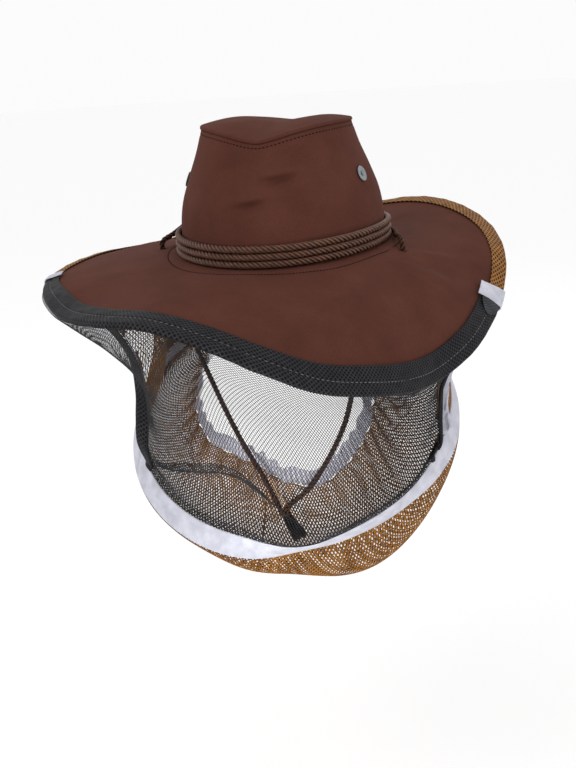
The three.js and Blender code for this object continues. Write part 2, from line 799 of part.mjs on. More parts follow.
function neckRuffleGeometry() {
  const steps = neck.gathers * 3;
  const half = neck.ruffleThickness / 2;
  const corners = [
    { rise: 0, out: half },
    { rise: 1, out: half },
    { rise: 1, out: -half },
    { rise: 0, out: -half },
  ];
  return ringSolid(corners.length, steps, (corner, u) => {
    const { rise, out } = corners[corner];
    const wave = neck.gatherDepth * Math.sin(2 * Math.PI * neck.gathers * u) * rise;
    return neckPoint(u * 360, ruffleLean.inward * rise - out - wave, ruffleLean.up * rise);
  });
}

// Chin cord: both ends meet at the tassel, the loop runs up through the brim and behind the crown
const tasselTop = new THREE.Vector3(17.5, -100, -214.8);
const tasselAxis = new THREE.Vector3(Math.sin(degToRad(tassel.lean)), 0, -Math.cos(degToRad(tassel.lean)));
const tasselSide = new THREE.Vector3(Math.cos(degToRad(tassel.lean)), 0, Math.sin(degToRad(tassel.lean)));
const branchShift = chinCord.diameter / 2 + 0.2;

const brimHole = (hole, up) => brimOffset(hole.angle, hole.out, 0).add(new THREE.Vector3(0, 0, up));
const overTasselTop = (shift, back) =>
  tasselTop.clone().addScaledVector(tasselSide, shift).addScaledVector(tasselAxis, -back);
const cordPoints = [
  overTasselTop(-branchShift, gap),
  overTasselTop(-branchShift - 0.3, 6),
  new THREE.Vector3(-4, -88, -188),
  new THREE.Vector3(-30, -72, -156),
  new THREE.Vector3(-78, -35, -84),
  brimHole(holeRight, -16),
  brimHole(holeRight, 0),
  brimHole(holeRight, 7),
  footPoint(-86, 14, 10),
  footPoint(-93, 9.6, 14.5),
  footPoint(-102, 6.8, 18.8),
  footPoint(-114, 3.2, 21),
  footPoint(-128, 2.9, 21),
  footPoint(-144, 3.6, 20.8),
  footPoint(-158, 6.6, 19.2),
  footPoint(-170, 8.7, 16),
  footPoint(176, 8.8, 11.5),
  footPoint(160, 8.8, 7),
  footPoint(144, 8.8, 4),
  footPoint(126, 8.9, 2.8),
  footPoint(108, 9, 2.6),
  footPoint(95, 11, 2.8),
  footPoint(87, 16, 3.6),
  brimHole(holeLeft, 5),
  brimHole(holeLeft, 0),
  brimHole(holeLeft, -16),
  new THREE.Vector3(74, -52, -94),
  new THREE.Vector3(62, -76, -144.5),
  new THREE.Vector3(36, -93, -190),
  overTasselTop(branchShift + 0.3, 6),
  overTasselTop(branchShift, gap),
];

function chinCordGeometry() {
  const path = new THREE.CatmullRomCurve3(cordPoints, false, 'centripetal');
  const section = new THREE.Shape();
  for (let i = 0; i < chinCord.sides; i += 1) {
    const turn = (2 * Math.PI * i) / chinCord.sides;
    const x = (chinCord.diameter / 2) * Math.cos(turn);
    const y = (chinCord.diameter / 2) * Math.sin(turn);
    if (i === 0) section.moveTo(x, y);
    else section.lineTo(x, y);
  }
  section.closePath();
  const options = { steps: chinCord.steps, extrudePath: path, bevelEnabled: false };
  return new THREE.ExtrudeGeometry(section, options);
}

// Tassel: a wound head that opens into locks of thread
const tasselProfile = [
  { down: 0, radius: 0, lock: 0 },
  { down: 0, radius: 0.42, lock: 0 },
  { down: 0.06, radius: 0.5, lock: 0 },
  { down: 0.2, radius: 0.5, lock: 0 },
  { down: 0.27, radius: 0.4, lock: 0.02 },
  { down: 0.45, radius: 0.5, lock: 0.07 },
  { down: 0.7, radius: 0.62, lock: 0.11 },
  { down: 1, radius: 0.7, lock: 0.14 },
  { down: 0.93, radius: 0.4, lock: 0.1 },
  { down: 0.9, radius: 0, lock: 0 },
];

function tasselGeometry() {
  const around = tassel.locks * 2;
  const last = tasselProfile.length - 1;
  const geometry = new THREE.SphereGeometry(1, around, last);
  return bend(geometry, (from, u, v) => {
    const { down, radius, lock } = tasselProfile[Math.round((1 - v) * last)];
    const turn = Math.atan2(from.x, from.z);
    const ridge = Math.cos(tassel.locks * turn);
    const size = tassel.headDiameter * (radius + lock * ridge * (radius > 0 ? 1 : 0));
    const fall = down * tassel.length * (1 - 0.05 * (1 - ridge) * (down > 0.9 ? 1 : 0));
    const point = tasselTop.clone().addScaledVector(tasselAxis, fall);
    point.addScaledVector(tasselSide, size * Math.sin(turn));
    point.y -= size * Math.cos(turn);
    return point;
  });
}

// Colours
const materials = {
  brownCloth: new THREE.MeshStandardMaterial({ color: '#5a3329', roughness: 0.95, metalness: 0 }),
  bandCord: new THREE.MeshStandardMaterial({ color: '#5c3c24', roughness: 0.5, metalness: 0 }),
  chinCord: new THREE.MeshStandardMaterial({ color: '#3b2a20', roughness: 0.6, metalness: 0 }),
  tassel: new THREE.MeshStandardMaterial({ color: '#2b1f1a', roughness: 0.7, metalness: 0 }),
  eyelet: new THREE.MeshStandardMaterial({ color: '#9a9a98', roughness: 0.35, metalness: 0.85 }),
  blackTape: new THREE.MeshStandardMaterial({ color: '#1d1c21', roughness: 0.85, metalness: 0 }),
  blackNet: new THREE.MeshStandardMaterial({ color: '#2b2b30', roughness: 0.8, metalness: 0 }),
  brownNet: new THREE.MeshStandardMaterial({ color: '#6f4a1e', roughness: 0.7, metalness: 0 }),
  whiteTape: new THREE.MeshStandardMaterial({ color: '#e6e6ee', roughness: 0.8, metalness: 0 }),
  ruffle: new THREE.MeshStandardMaterial({ color: '#cfcddd', roughness: 0.85, metalness: 0 }),
};

function piece(name, geometry, material) {
  const mesh = new THREE.Mesh(geometry, materials[material].clone());
  mesh.name = name;
  return mesh;
}

function bundle(name, ...children) {
  const group = new THREE.Group();
  group.name = name;
  group.add(...children);
  return group;
}

const eyeletRight = piece('eyelet_right', eyeletGeometry(), 'eyelet');
const eyeletLeft = piece('eyelet_left', eyeletGeometry(), 'eyelet');
seatEyelet(eyeletRight, -1);
seatEyelet(eyeletLeft, 1);

const crownGroup = bundle(
  'crown',
  piece('crown_wall', crownWallGeometry(), 'brownCloth'),
  piece('crown_tip', crownTipGeometry(), 'brownCloth'),
  eyeletRight,
  eyeletLeft,
);

const bandNames = ['band_cord_lower', 'band_cord_middle', 'band_cord_upper'];
const bandGroup = bundle(
  'hatband',
  ...bandNames.map((name, number) => piece(name, bandCordGeometry(number), 'bandCord')),
);

const { brimRight, brimLeft } = seamAngles;
const stepsBetween = (from, to) => {
  const step = 360 / aroundSteps;
  return Math.ceil(to / step - 0.01) - Math.floor(from / step + 0.01);
};
const binding = (tape, from, to) =>
  foldedTapeGeometry(tape, gap, stepsBetween(from, to), (share) => bindingDegrees(from, to, share));
const tabClear = gap + frontBinding.thickness + 0.75;
const tabReach = tab.length / 7.2;
const tabAt = (middle) =>
  foldedTapeGeometry(tab, tabClear, 2, (share) => lerp(middle - tabReach, middle + tabReach, share));
const brimGroup = bundle(
  'brim_parts',
  piece('brim', brimGeometry(), 'brownCloth'),
  piece('front_binding', binding(frontBinding, brimRight, brimLeft), 'blackTape'),
  piece('rear_binding', binding(rearBinding, brimLeft, brimRound), 'brownNet'),
  piece('tab_right', tabAt(brimRight), 'whiteTape'),
  piece('tab_left', tabAt(brimLeft), 'whiteTape'),
);

const { front, back } = netSteps;
const veilGroup = bundle(
  'veil',
  piece('front_net', netPanelGeometry(frontPanel, front), 'blackNet'),
  piece('back_net', netPanelGeometry(backPanel, back), 'brownNet'),
  piece('side_tape_right', seamStripGeometry(backPanel, back, false, sideTape, 'right'), 'whiteTape'),
  piece('side_tape_left', seamStripGeometry(backPanel, back, true, sideTapeShort, 'left'), 'whiteTape'),
  piece('side_hem_right', seamStripGeometry(frontPanel, front, true, sideHem, ''), 'blackTape'),
  piece('side_hem_left', seamStripGeometry(frontPanel, front, false, sideHem, ''), 'blackTape'),
  piece('hoop', hoopGeometry(), 'whiteTape'),
);

const neckGroup = bundle(
  'neck_closure',
  piece('skirt_net', thickRing(skirtPoint, 40, skirtRows, netThickness), 'brownNet'),
  piece('neck_ruffle', neckRuffleGeometry(), 'ruffle'),
);

const cordGroup = bundle(
  'chin_strap',
  piece('chin_cord', chinCordGeometry(), 'chinCord'),
  piece('chin_tassel', tasselGeometry(), 'tassel'),
);

const hat = bundle('beekeeper_hat', crownGroup, bandGroup, brimGroup, veilGroup, neckGroup, cordGroup);

export default hat;
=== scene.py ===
import math
import bpy
import bmesh
import numpy as np
from mathutils import Matrix, Vector


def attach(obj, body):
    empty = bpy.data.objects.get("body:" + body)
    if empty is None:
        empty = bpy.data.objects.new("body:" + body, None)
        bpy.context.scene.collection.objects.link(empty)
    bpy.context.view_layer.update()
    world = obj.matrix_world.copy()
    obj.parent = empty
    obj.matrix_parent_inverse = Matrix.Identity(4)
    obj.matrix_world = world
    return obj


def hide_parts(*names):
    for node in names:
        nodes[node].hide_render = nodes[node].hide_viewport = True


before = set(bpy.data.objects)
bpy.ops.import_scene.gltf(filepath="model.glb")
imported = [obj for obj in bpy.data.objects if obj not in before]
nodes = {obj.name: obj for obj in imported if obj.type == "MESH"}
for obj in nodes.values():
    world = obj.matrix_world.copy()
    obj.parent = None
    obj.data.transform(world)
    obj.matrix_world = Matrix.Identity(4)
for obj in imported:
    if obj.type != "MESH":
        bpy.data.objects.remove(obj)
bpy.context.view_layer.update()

# Beekeeper hat: the looks of each piece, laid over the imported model.
# Shapes are worked out in millimetres and written to the meshes in metres.
metre = 0.001

# Camera and light
cameraPlace = {
    "at": (257.0913, -859.1885, 144.9324),
    "right": (0.9598, 0.2742, -0.0603),
    "up": (-0.0251, 0.2975, 0.9544),
    "back": (0.2796, -0.9145, 0.2924),
    "focalPixels": 1032.94,
    "framePixels": 768,
}


def makeCamera(place):
    data = bpy.data.cameras.new("camera")
    data.sensor_fit = "AUTO"
    data.sensor_width = 36
    data.lens = place["focalPixels"] / place["framePixels"] * 36
    data.clip_start, data.clip_end = 0.05, 50
    camera = bpy.data.objects.new("camera", data)
    bpy.context.collection.objects.link(camera)
    right, up, back = (Vector(place[key]).normalized() for key in ("right", "up", "back"))
    turn = Matrix((right, up, back)).transposed()
    camera.matrix_world = Matrix.Translation(Vector(place["at"]) * metre) @ turn.to_4x4()
    bpy.context.scene.camera = camera


lamps = {
    "key": {"at": (-1.0, -1.5, 1.8), "size": 1.0, "power": 8},
    "fill": {"at": (1.6, -1.2, 0.5), "size": 1.6, "power": 2.5},
    "low": {"at": (0.05, -0.75, -0.5), "size": 0.4, "power": 1.5},
    "rim": {"at": (0.4, 1.6, 1.4), "size": 1.2, "power": 4},
}
lampAim = (0, 0, -0.06)
veilLamp = {"at": (0.1, -0.72, -0.13), "aim": (0, -0.05, -0.165), "cone": 18, "size": 0.04, "power": 19}
worldStrength = 0.97


def placeLamp(data, at, aim):
    light = bpy.data.objects.new(data.name, data)
    light.location = at
    light.rotation_euler = (Vector(aim) - Vector(at)).to_track_quat("-Z", "Y").to_euler()
    light.visible_camera = False
    bpy.context.collection.objects.link(light)


def makeLight():
    for name, lamp in lamps.items():
        data = bpy.data.lights.new(name, "AREA")
        data.shape, data.size, data.energy = "DISK", lamp["size"], lamp["power"]
        placeLamp(data, lamp["at"], lampAim)
    data = bpy.data.lights.new("veilLamp", "SPOT")
    data.spot_size, data.spot_blend = math.radians(veilLamp["cone"]), 1
    data.shadow_soft_size, data.energy = veilLamp["size"], veilLamp["power"]
    placeLamp(data, veilLamp["at"], veilLamp["aim"])
    world = bpy.data.worlds.new("studio")
    world.use_nodes = True
    background = world.node_tree.nodes["Background"]
    background.inputs["Color"].default_value = (1, 1, 1, 1)
    background.inputs["Strength"].default_value = worldStrength
    bpy.context.scene.world = world
    bpy.context.scene.view_settings.view_transform = "Standard"


# Reading short tables
def radians(degrees):
    return np.radians(np.asarray(degrees, float))


def readTable(table, key, column, at, turn=0):
    keys, values = np.array(table[key], float), np.array(table[column], float)
    at = np.asarray(at, float)
    first, last = 0, len(keys) - 2
    if turn:  # three rows are repeated past both ends
        keys = np.concatenate([keys[-2:] - turn, keys, keys[:2] + turn])
        values = np.concatenate([values[-2:], values, values[:2]])
        at = keys[2] + (at - keys[2]) % turn
        first, last = 2, len(keys) - 3
    row = np.clip(np.searchsorted(keys, at, side="right") - 1, first, last)
    before, after = np.maximum(row - 1, 0), np.minimum(row + 2, len(keys) - 1)
    span = keys[row + 1] - keys[row]
    t = (at - keys[row]) / span
    slopeIn = (values[row + 1] - values[before]) / (keys[row + 1] - keys[before]) * span
    slopeOut = (values[after] - values[row]) / (keys[after] - keys[row]) * span
    return (
        (2 * t**3 - 3 * t**2 + 1) * values[row]
        + (t**3 - 2 * t**2 + t) * slopeIn
        + (3 * t**2 - 2 * t**3) * values[row + 1]
        + (t**3 - t**2) * slopeOut
    )


def readRound(table, column, degrees):
    return readTable(table, "angle", column, degrees, turn=360)


def readAlong(table, column, share):
    return readTable(table, "share", column, share)


def points(x, y, z):
    return np.stack(np.broadcast_arrays(x, y, z), axis=-1).astype(float)


def unit(vectors):
    return vectors / np.linalg.norm(vectors, axis=-1, keepdims=True)


def scaled(vectors, amount):
    return vectors * np.asarray(amount, float)[..., None]


def outwardAt(place):
    return unit(points(place[..., 0], place[..., 1], 0))


def pathLength(places):
    return np.linalg.norm(np.diff(places, axis=0), axis=1).sum()


def wrapDegrees(degrees):
    return (np.asarray(degrees, float) + 180) % 360 - 180


def ripple(a, b, seed):
    return np.sin(a + seed) * np.cos(b * 1.3 + seed * 2.1) + 0.5 * np.sin(2 * a - b + seed * 0.7)


# Main sizes
clearance = 0.3
clothThickness = 2
netThickness = 1

crown = {
    "halfWidth": 86, "halfLength": 102, "tipHalfWidth": 62.5, "tipHalfLength": 70.2,
    "tipShift": -4.3, "height": 102.2, "footWave": 1.9, "footDip": 1.4,
    "dentFront": 12.4, "dentMiddle": 11.5, "dentBack": 4.5, "dentShift": 4, "dentWidth": 36,
    "dentPower": 1.6, "dome": 10,
}
crownLean = {
    "share": [0, 0.22, 0.42, 0.62, 0.82, 1],
    "lean": [0, 0, 0.13, 0.42, 0.76, 1],
}
crownCreases = {
    "angle": [17, 4, 12],
    "height": [61, 43, 52],
    "halfAngle": [15, 13, 22],
    "halfHeight": [5, 5, 16],
    "depth": [2.2, 1.8, 1.6],
}
brimEdge = {
    "angle": [
        -150, -120, -95, -66, -49, -37, -24, -11, 0, 10, 22,
        34, 47, 60, 72, 84, 97, 110, 123, 141, 156, 175,
    ],
    "drop": [
        4.7, 9, 7.7, 8.4, 9.3, 11.5, 9.8, 8.5, 14, 24, 36.3,
        42.6, 48.8, 51, 43.3, 35.7, 25.7, 11.9, 2.1, -6.5, -8.2, -3,
    ],
    "reach": [
        110, 112, 115, 119, 121, 121.5, 122, 122, 122, 122.5, 123.5,
        124, 123.5, 121.5, 119, 114, 110, 108, 107, 106, 107, 108,
    ],
}
hoopSize = {
    "halfWidth": 146.5, "halfLength": 148.6, "tapeWidth": 20, "tapeThickness": 2, "pitch": 32.9, "roll": 4.1,
}
hoopCentre = np.array([-2.7, 2.2, -155.1])
hoopTable = {
    "angle": [-150, -110, -75, -50, -30, -12, -3, 5, 12, 20, 28, 39, 57, 71, 84, 96, 115, 160],
    "lean": [80, 70, 60, 50, 45, 47, 57, 84, 106, 115, 109, 100, 91, 73, 61, 69, 80, 82],
    "rise": [0, 0, 0, 0, 0, 0, 0, 0, 0.5, 2, 4.2, 6.3, 6.2, 4.2, 2, 0.5, 0, 0],
}
neckSize = {"pitch": 45, "roll": 7, "ruffleWidth": 19, "inward": 7, "gathers": 30, "gatherDepth": 2.6}
neckCentre = np.array([-5, 5, -130])
neckRadius = {
    "angle": [-140, -90, -43, -20, -3, 13, 28, 50, 68, 88, 140],
    "radius": [78, 84, 90, 84, 87, 98, 104, 94, 86, 78, 78],
}
pouch = {
    "angle": [-150, -80, -45, -20, -5, 8, 22, 40, 57, 75, 92, 120],
    "down": [8, 5, 5, 11, 24, 37, 51, 62, 60, 42, 22, 12],
    "out": [0, -8, -9, -7, -2, 2, 6, 8, 5, -1, -4, -1],
}
seamAngles = {"brimRight": -67.5, "brimLeft": 93, "hoopRight": -53, "hoopLeft": 72}
rightSeamRows = {
    "share": [0.13, 0.25, 0.37, 0.49, 0.6, 0.73, 0.86],
    "x": [-172, -149, -127, -112, -109, -110, -113],
    "y": [-85, -85, -85, -84, -83, -83, -83],
    "z": [-29, -40, -57, -84, -112, -136, -160],
}
leftSeamRows = {
    "share": [0.16, 0.3, 0.45, 0.62, 0.8],
    "x": [159, 144, 134, 133, 135],
    "y": [8, -1, -10, -19, -28],
    "z": [-78, -100, -121, -144, -166],
}


# Crown, brim, hoop and neck surfaces
def footHeight(degrees):
    return -crown["footDip"] - crown["footWave"] * np.cos(2 * radians(degrees))


def footPoint(degrees, out, up):
    angle = radians(degrees)
    normal = unit(points(np.sin(angle) / crown["halfWidth"], -np.cos(angle) / crown["halfLength"], 0))
    x, y = crown["halfWidth"] * np.sin(angle), -crown["halfLength"] * np.cos(angle)
    return points(x, y, footHeight(degrees) + up) + scaled(normal, out + np.zeros_like(angle))


def tipHeight(x, y):
    share = (y - crown["tipShift"]) / crown["tipHalfLength"]
    ends = np.where(share < 0, crown["dentFront"], crown["dentBack"])
    depth = crown["dentMiddle"] + (ends - crown["dentMiddle"]) * share**2
    across = np.abs(x - crown["dentShift"]) / crown["dentWidth"]
    return crown["height"] - depth * np.exp(-(across ** crown["dentPower"]))


def wallPoint(degrees, share, inset=0.0):
    angle = radians(degrees)
    lean = readAlong(crownLean, "lean", share)
    halfWidth = crown["halfWidth"] + (crown["tipHalfWidth"] - crown["halfWidth"]) * lean - inset
    halfLength = crown["halfLength"] + (crown["tipHalfLength"] - crown["halfLength"]) * lean - inset
    rimX = crown["tipHalfWidth"] * np.sin(angle)
    rimY = crown["tipShift"] - crown["tipHalfLength"] * np.cos(angle)
    low = footHeight(degrees)
    z = low + (tipHeight(rimX, rimY) - low) * share
    press = 0
    for middle, height, halfAngle, halfHeight, depth in zip(*crownCreases.values()):
        across = wrapDegrees(degrees - middle) / halfAngle
        press = press + depth * np.exp(-(across**2) - ((z - height) / halfHeight) ** 2)
    x = (halfWidth - press) * np.sin(angle)
    y = crown["tipShift"] * lean - (halfLength - press) * np.cos(angle)
    return points(x, y, z)


def brimReach(degrees):
    return readRound(brimEdge, "reach", degrees)


def brimPoint(degrees, out, lift):
    drop = np.radians(readRound(brimEdge, "drop", degrees))
    past = np.maximum(out, 0)
    tilt = drop * (0.3 + 0.7 * past / brimReach(degrees))
    level = np.where(out < 0, out, past * np.cos(tilt))
    return footPoint(degrees, level, lift - past * np.sin(tilt))


def brimDirections(degrees, out):
    outward = unit(brimPoint(degrees, out + 0.5, 0) - brimPoint(degrees, out - 0.5, 0))
    along = unit(brimPoint(degrees + 0.5, out, 0) - brimPoint(degrees - 0.5, out, 0))
    return outward, unit(np.cross(outward, along))


def brimOffset(degrees, out, up):
    degrees, out, up = np.broadcast_arrays(*(np.asarray(v, float) for v in (degrees, out, up)))
    upward = brimDirections(degrees, out)[1]
    upward = np.where((out <= 0)[..., None], np.array([0.0, 0.0, 1.0]), upward)
    return brimPoint(degrees, out, -clearance - clothThickness / 2) + scaled(upward, up)


def edgeOffset(degrees, past, up):
    degrees, past, up = np.broadcast_arrays(*(np.asarray(v, float) for v in (degrees, past, up)))
    reach = brimReach(degrees)
    outward, upward = brimDirections(degrees, reach)
    return brimOffset(degrees, reach, 0) + scaled(outward, past) + scaled(upward, up)


def planeTurn(pitch, roll):
    tipped = Matrix.Rotation(math.radians(pitch), 3, "X")
    return np.array(Matrix.Rotation(math.radians(roll), 3, "Y") @ tipped)


hoopTurn = planeTurn(hoopSize["pitch"], hoopSize["roll"])
neckTurn = planeTurn(neckSize["pitch"], neckSize["roll"])


def hoopPoint(degrees, down, out):
    angle = radians(degrees)
    lean = np.radians(readRound(hoopTable, "lean", degrees))
    spoke = points(np.sin(angle), -np.cos(angle), 0)
    axis = np.array([0.0, 0.0, 1.0])
    ring = spoke * np.array([hoopSize["halfWidth"], hoopSize["halfLength"], 0])
    ring = ring + scaled(axis, readRound(hoopTable, "rise", degrees))
    fall = scaled(spoke, np.cos(lean)) - scaled(axis, np.sin(lean))
    face = scaled(spoke, np.sin(lean)) + scaled(axis, np.cos(lean))
    down, out = down + np.zeros_like(angle), out + np.zeros_like(angle)
    return (ring + scaled(fall, down) + scaled(face, out)) @ hoopTurn.T + hoopCentre


def neckPoint(degrees, inward, up):
    angle = radians(degrees)
    radius = readRound(neckRadius, "radius", degrees) - inward
    return points(radius * np.sin(angle), -radius * np.cos(angle), up) @ neckTurn.T + neckCentre


# Veil panels
hemDepth = 7
hemShare = 0.94


def veilTop(degrees):
    fromRight = np.abs(wrapDegrees(degrees - seamAngles["brimRight"]))
    fromLeft = np.abs(wrapDegrees(degrees - seamAngles["brimLeft"]))
    extra = np.where(np.minimum(fromRight, fromLeft) < 2.5, 2.0, 0.0)
    drop = np.where(np.asarray(degrees) > seamAngles["brimLeft"] + 1, -4.1, -3.3)
    return edgeOffset(degrees, 0.8 + 0.6 * extra, drop - 0.8 * extra)


def hemTop(degrees):
    return hoopPoint(degrees, -hoopSize["tapeWidth"] / 2 - clearance - hemDepth, 0)


def veilFoot(degrees):
    return hoopPoint(degrees, -hoopSize["tapeWidth"] / 2 - clearance - 0.1, 0)


def seamCurve(rows, brimDegrees, hoopDegrees):
    top, foot = veilTop(np.float64(brimDegrees)), hemTop(np.float64(hoopDegrees))
    table = {"share": [0, *rows["share"], 1]}
    for axis, key in enumerate("xyz"):
        table[key] = [top[axis], *rows[key], foot[axis]]
    return lambda share: points(*(readAlong(table, key, share) for key in "xyz"))


rightSeam = seamCurve(rightSeamRows, seamAngles["brimRight"], seamAngles["hoopRight"])
leftSeam = seamCurve(leftSeamRows, seamAngles["brimLeft"], seamAngles["hoopLeft"])


def veilPanel(startSeam, endSeam, brimSpan, hoopSpan, tucks):
    def panel(u, v):
        u, v = np.broadcast_arrays(np.asarray(u, float), np.asarray(v, float))
        hoopDegrees = hoopSpan[0] + (hoopSpan[1] - hoopSpan[0]) * u
        brimDegrees = brimSpan[0] + (brimSpan[1] - brimSpan[0]) * u
        t = np.minimum(v / hemShare, 1)
        foot = hemTop(hoopDegrees)
        place = scaled(veilTop(brimDegrees), 1 - t) + scaled(foot, t)
        place = place + scaled(startSeam(t), 1 - u) + scaled(endSeam(t), u)
        place = place - scaled(startSeam(0.0), (1 - u) * (1 - t)) - scaled(endSeam(0.0), u * (1 - t))
        place = place - scaled(startSeam(1.0), (1 - u) * t) - scaled(endSeam(1.0), u * t)
        reach = tucks["reach"]
        draw = tucks["start"] * np.minimum(u / reach, 1) * np.exp(-u / reach)
        draw = draw + tucks["end"] * np.minimum((1 - u) / reach, 1) * np.exp((u - 1) / reach)
        draw = draw * np.sin(np.pi * np.maximum(t, 0) ** 0.8) * math.e
        level = np.hypot(place[..., 0], place[..., 1])
        place = place - scaled(points(place[..., 0], place[..., 1], 0), draw / level)
        below = np.clip((v - hemShare) / (1 - hemShare), 0, 1)
        return place + scaled(veilFoot(hoopDegrees) - foot, below)
    return panel


frontPanel = veilPanel(
    rightSeam, leftSeam,
    (seamAngles["brimRight"], seamAngles["brimLeft"]),
    (seamAngles["hoopRight"], seamAngles["hoopLeft"]),
    {"start": 0, "end": 0, "reach": 0.1},
)
backPanel = veilPanel(
    leftSeam, rightSeam,
    (seamAngles["brimLeft"], 360 + seamAngles["brimRight"]),
    (seamAngles["hoopLeft"], 360 + seamAngles["hoopRight"]),
    {"start": 12, "end": 22, "reach": 0.09},
)


def panelNormal(panel, u, v):
    u = np.clip(u, 0.002, 0.998)
    v = np.clip(v, 0.002, 0.998)
    step = 0.001
    along, down = panel(u + step, v) - panel(u - step, v), panel(u, v + step) - panel(u, v - step)
    normal = unit(np.cross(along, down))
    place = panel(u, v)
    outward = normal[..., 0] * place[..., 0] + normal[..., 1] * place[..., 1]
    return scaled(normal, np.where(outward < 0, -1.0, 1.0))


def ruffleDirection(degrees):
    up = math.sqrt(neckSize["ruffleWidth"] ** 2 - neckSize["inward"] ** 2)
    return unit(neckPoint(degrees, neckSize["inward"], up) - neckPoint(degrees, 0, 0))


def skirtPoint(u, v):
    degrees = np.asarray(u, float) * 360
    angle = radians(degrees)
    down, out = readRound(pouch, "down", degrees), readRound(pouch, "out", degrees)
    start = hoopPoint(degrees, hoopSize["tapeWidth"] / 2 + clearance + 0.5, 0)
    fall = unit(hoopPoint(degrees, 20, 0) - hoopPoint(degrees, 10, 0))
    rise = ruffleDirection(degrees)
    end = neckPoint(degrees, 0, 0) - rise * (clearance + 0.2)
    sag = points(out * np.sin(angle), -out * np.cos(angle), -down)
    first = start + fall * 7 + sag * 1.35
    second = end - rise * 18 + sag * 0.45
    return (
        scaled(start, (1 - v) ** 3) + scaled(first, 3 * (1 - v) ** 2 * v)
        + scaled(second, 3 * (1 - v) * v**2) + scaled(end, v**3)
    )


# Mesh building
mergeDistance = 0.00002


def newGrid(columns, rows, size=(1, 1)):
    bm = bmesh.new()
    bm.loops.layers.uv.new("UVMap")
    bmesh.ops.create_grid(bm, x_segments=columns, y_segments=rows, size=0.5, calc_uvs=True)
    uvLayer = bm.loops.layers.uv.active
    for face in bm.faces:
        for loop in face.loops:
            u, v = loop.vert.co.x + 0.5, loop.vert.co.y + 0.5
            loop[uvLayer].uv = (u * size[0] * metre, v * size[1] * metre)
    return bm


def bendVerts(bm, surface, verts=None):
    verts = list(verts if verts is not None else bm.verts)
    flat = np.array([vert.co[:] for vert in verts])
    places = surface(flat[:, 0] + 0.5, flat[:, 1] + 0.5) * metre
    for vert, place in zip(verts, places):
        vert.co = place


def mergeVerts(bm):
    bmesh.ops.remove_doubles(bm, verts=bm.verts, dist=mergeDistance)


def turnFaces(bm):
    bmesh.ops.recalc_face_normals(bm, faces=bm.faces)


def fillEnds(bm):
    ends = [edge for edge in bm.edges if edge.is_boundary]
    bmesh.ops.holes_fill(bm, edges=ends, sides=0)
    turnFaces(bm)


def turnIf(bm, inward):
    if inward:
        bmesh.ops.reverse_faces(bm, faces=bm.faces)


def turnOutward(bm, centre):
    tally = sum((face.calc_center_median() - centre).dot(face.normal) * face.calc_area() for face in bm.faces)
    turnIf(bm, tally < 0)


def openHole(bm, middle, radius):
    near = [face for face in bm.faces if (face.calc_center_median() - middle).length < radius]
    bmesh.ops.delete(bm, geom=near, context="FACES")


def joinParts(bm, parts):
    for part in parts:
        mesh = bpy.data.meshes.new("part")
        part.to_mesh(mesh)
        part.free()
        bm.from_mesh(mesh)
        bpy.data.meshes.remove(mesh)


def newJoined():
    bm = bmesh.new()
    bm.loops.layers.uv.new("UVMap")
    return bm


def makeMesh(name, bm, material, smooth=True):
    mesh = bpy.data.meshes.new(name)
    bm.to_mesh(mesh)
    bm.free()
    mesh.materials.append(material)
    if smooth:
        mesh.shade_smooth()
    piece = bpy.data.objects.new(name, mesh)
    bpy.context.collection.objects.link(piece)
    return piece


def dressNode(piece, slotName, *nodeNames):
    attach(piece, "root")
    if nodeNames:
        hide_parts(*nodeNames)
    return piece


def addThickness(piece, thickness, offset, even=True):
    wall = piece.modifiers.new("thickness", "SOLIDIFY")
    wall.thickness, wall.offset = thickness * metre, offset
    wall.use_even_offset = even
    wall.use_quality_normals = True


def bentPiece(name, slotName, node, bm, surface, material, closed=True, amend=None, wall=None):
    bendVerts(bm, surface)
    if closed:
        mergeVerts(bm)
    turnFaces(bm)
    if amend:
        amend(bm)
    piece = makeMesh(name, bm, material)
    if wall:
        addThickness(piece, **wall)
    return dressNode(piece, slotName, *([node] if node else []))


# Material building
def addNode(material, kind, inputs=None, **settings):
    node = material.node_tree.nodes.new(kind)
    for key, value in settings.items():
        setattr(node, key, value)
    for key, value in (inputs or {}).items():
        if isinstance(value, bpy.types.NodeSocket):
            material.node_tree.links.new(value, node.inputs[key])
        else:
            node.inputs[key].default_value = value
    return node


def calc(material, operation, *values):
    node = addNode(material, "ShaderNodeMath", operation=operation)
    for place, value in enumerate(values):
        if isinstance(value, bpy.types.NodeSocket):
            material.node_tree.links.new(value, node.inputs[place])
        else:
            node.inputs[place].default_value = value
    return node.outputs[0]


def srgb(hexColour):
    parts = [int(hexColour[place:place + 2], 16) / 255 for place in (1, 3, 5)]
    return (*(c / 12.92 if c < 0.04045 else ((c + 0.055) / 1.055) ** 2.4 for c in parts), 1)


def newMaterial(name, **sockets):
    material = bpy.data.materials.new(name)
    material.use_nodes = True
    shader = material.node_tree.nodes["Principled BSDF"]
    for key, value in sockets.items():
        shader.inputs[key.replace("_", " ")].default_value = value
    return material, shader


def blendColours(material, shader, factor, low, high, start=0, end=1):
    ramp = addNode(material, "ShaderNodeValToRGB", {"Fac": factor})
    for stop, colour, position in zip(ramp.color_ramp.elements, (low, high), (start, end)):
        stop.color, stop.position = srgb(colour), position
    material.node_tree.links.new(ramp.outputs["Color"], shader.inputs["Base Color"])
    return ramp.outputs["Color"]


def addBump(material, shader, height, strength, distance):
    bump = addNode(material, "ShaderNodeBump", {"Height": height, "Strength": strength, "Distance": distance * metre})
    material.node_tree.links.new(bump.outputs["Normal"], shader.inputs["Normal"])


def objectPlace(material):
    return addNode(material, "ShaderNodeTexCoord").outputs["Object"]


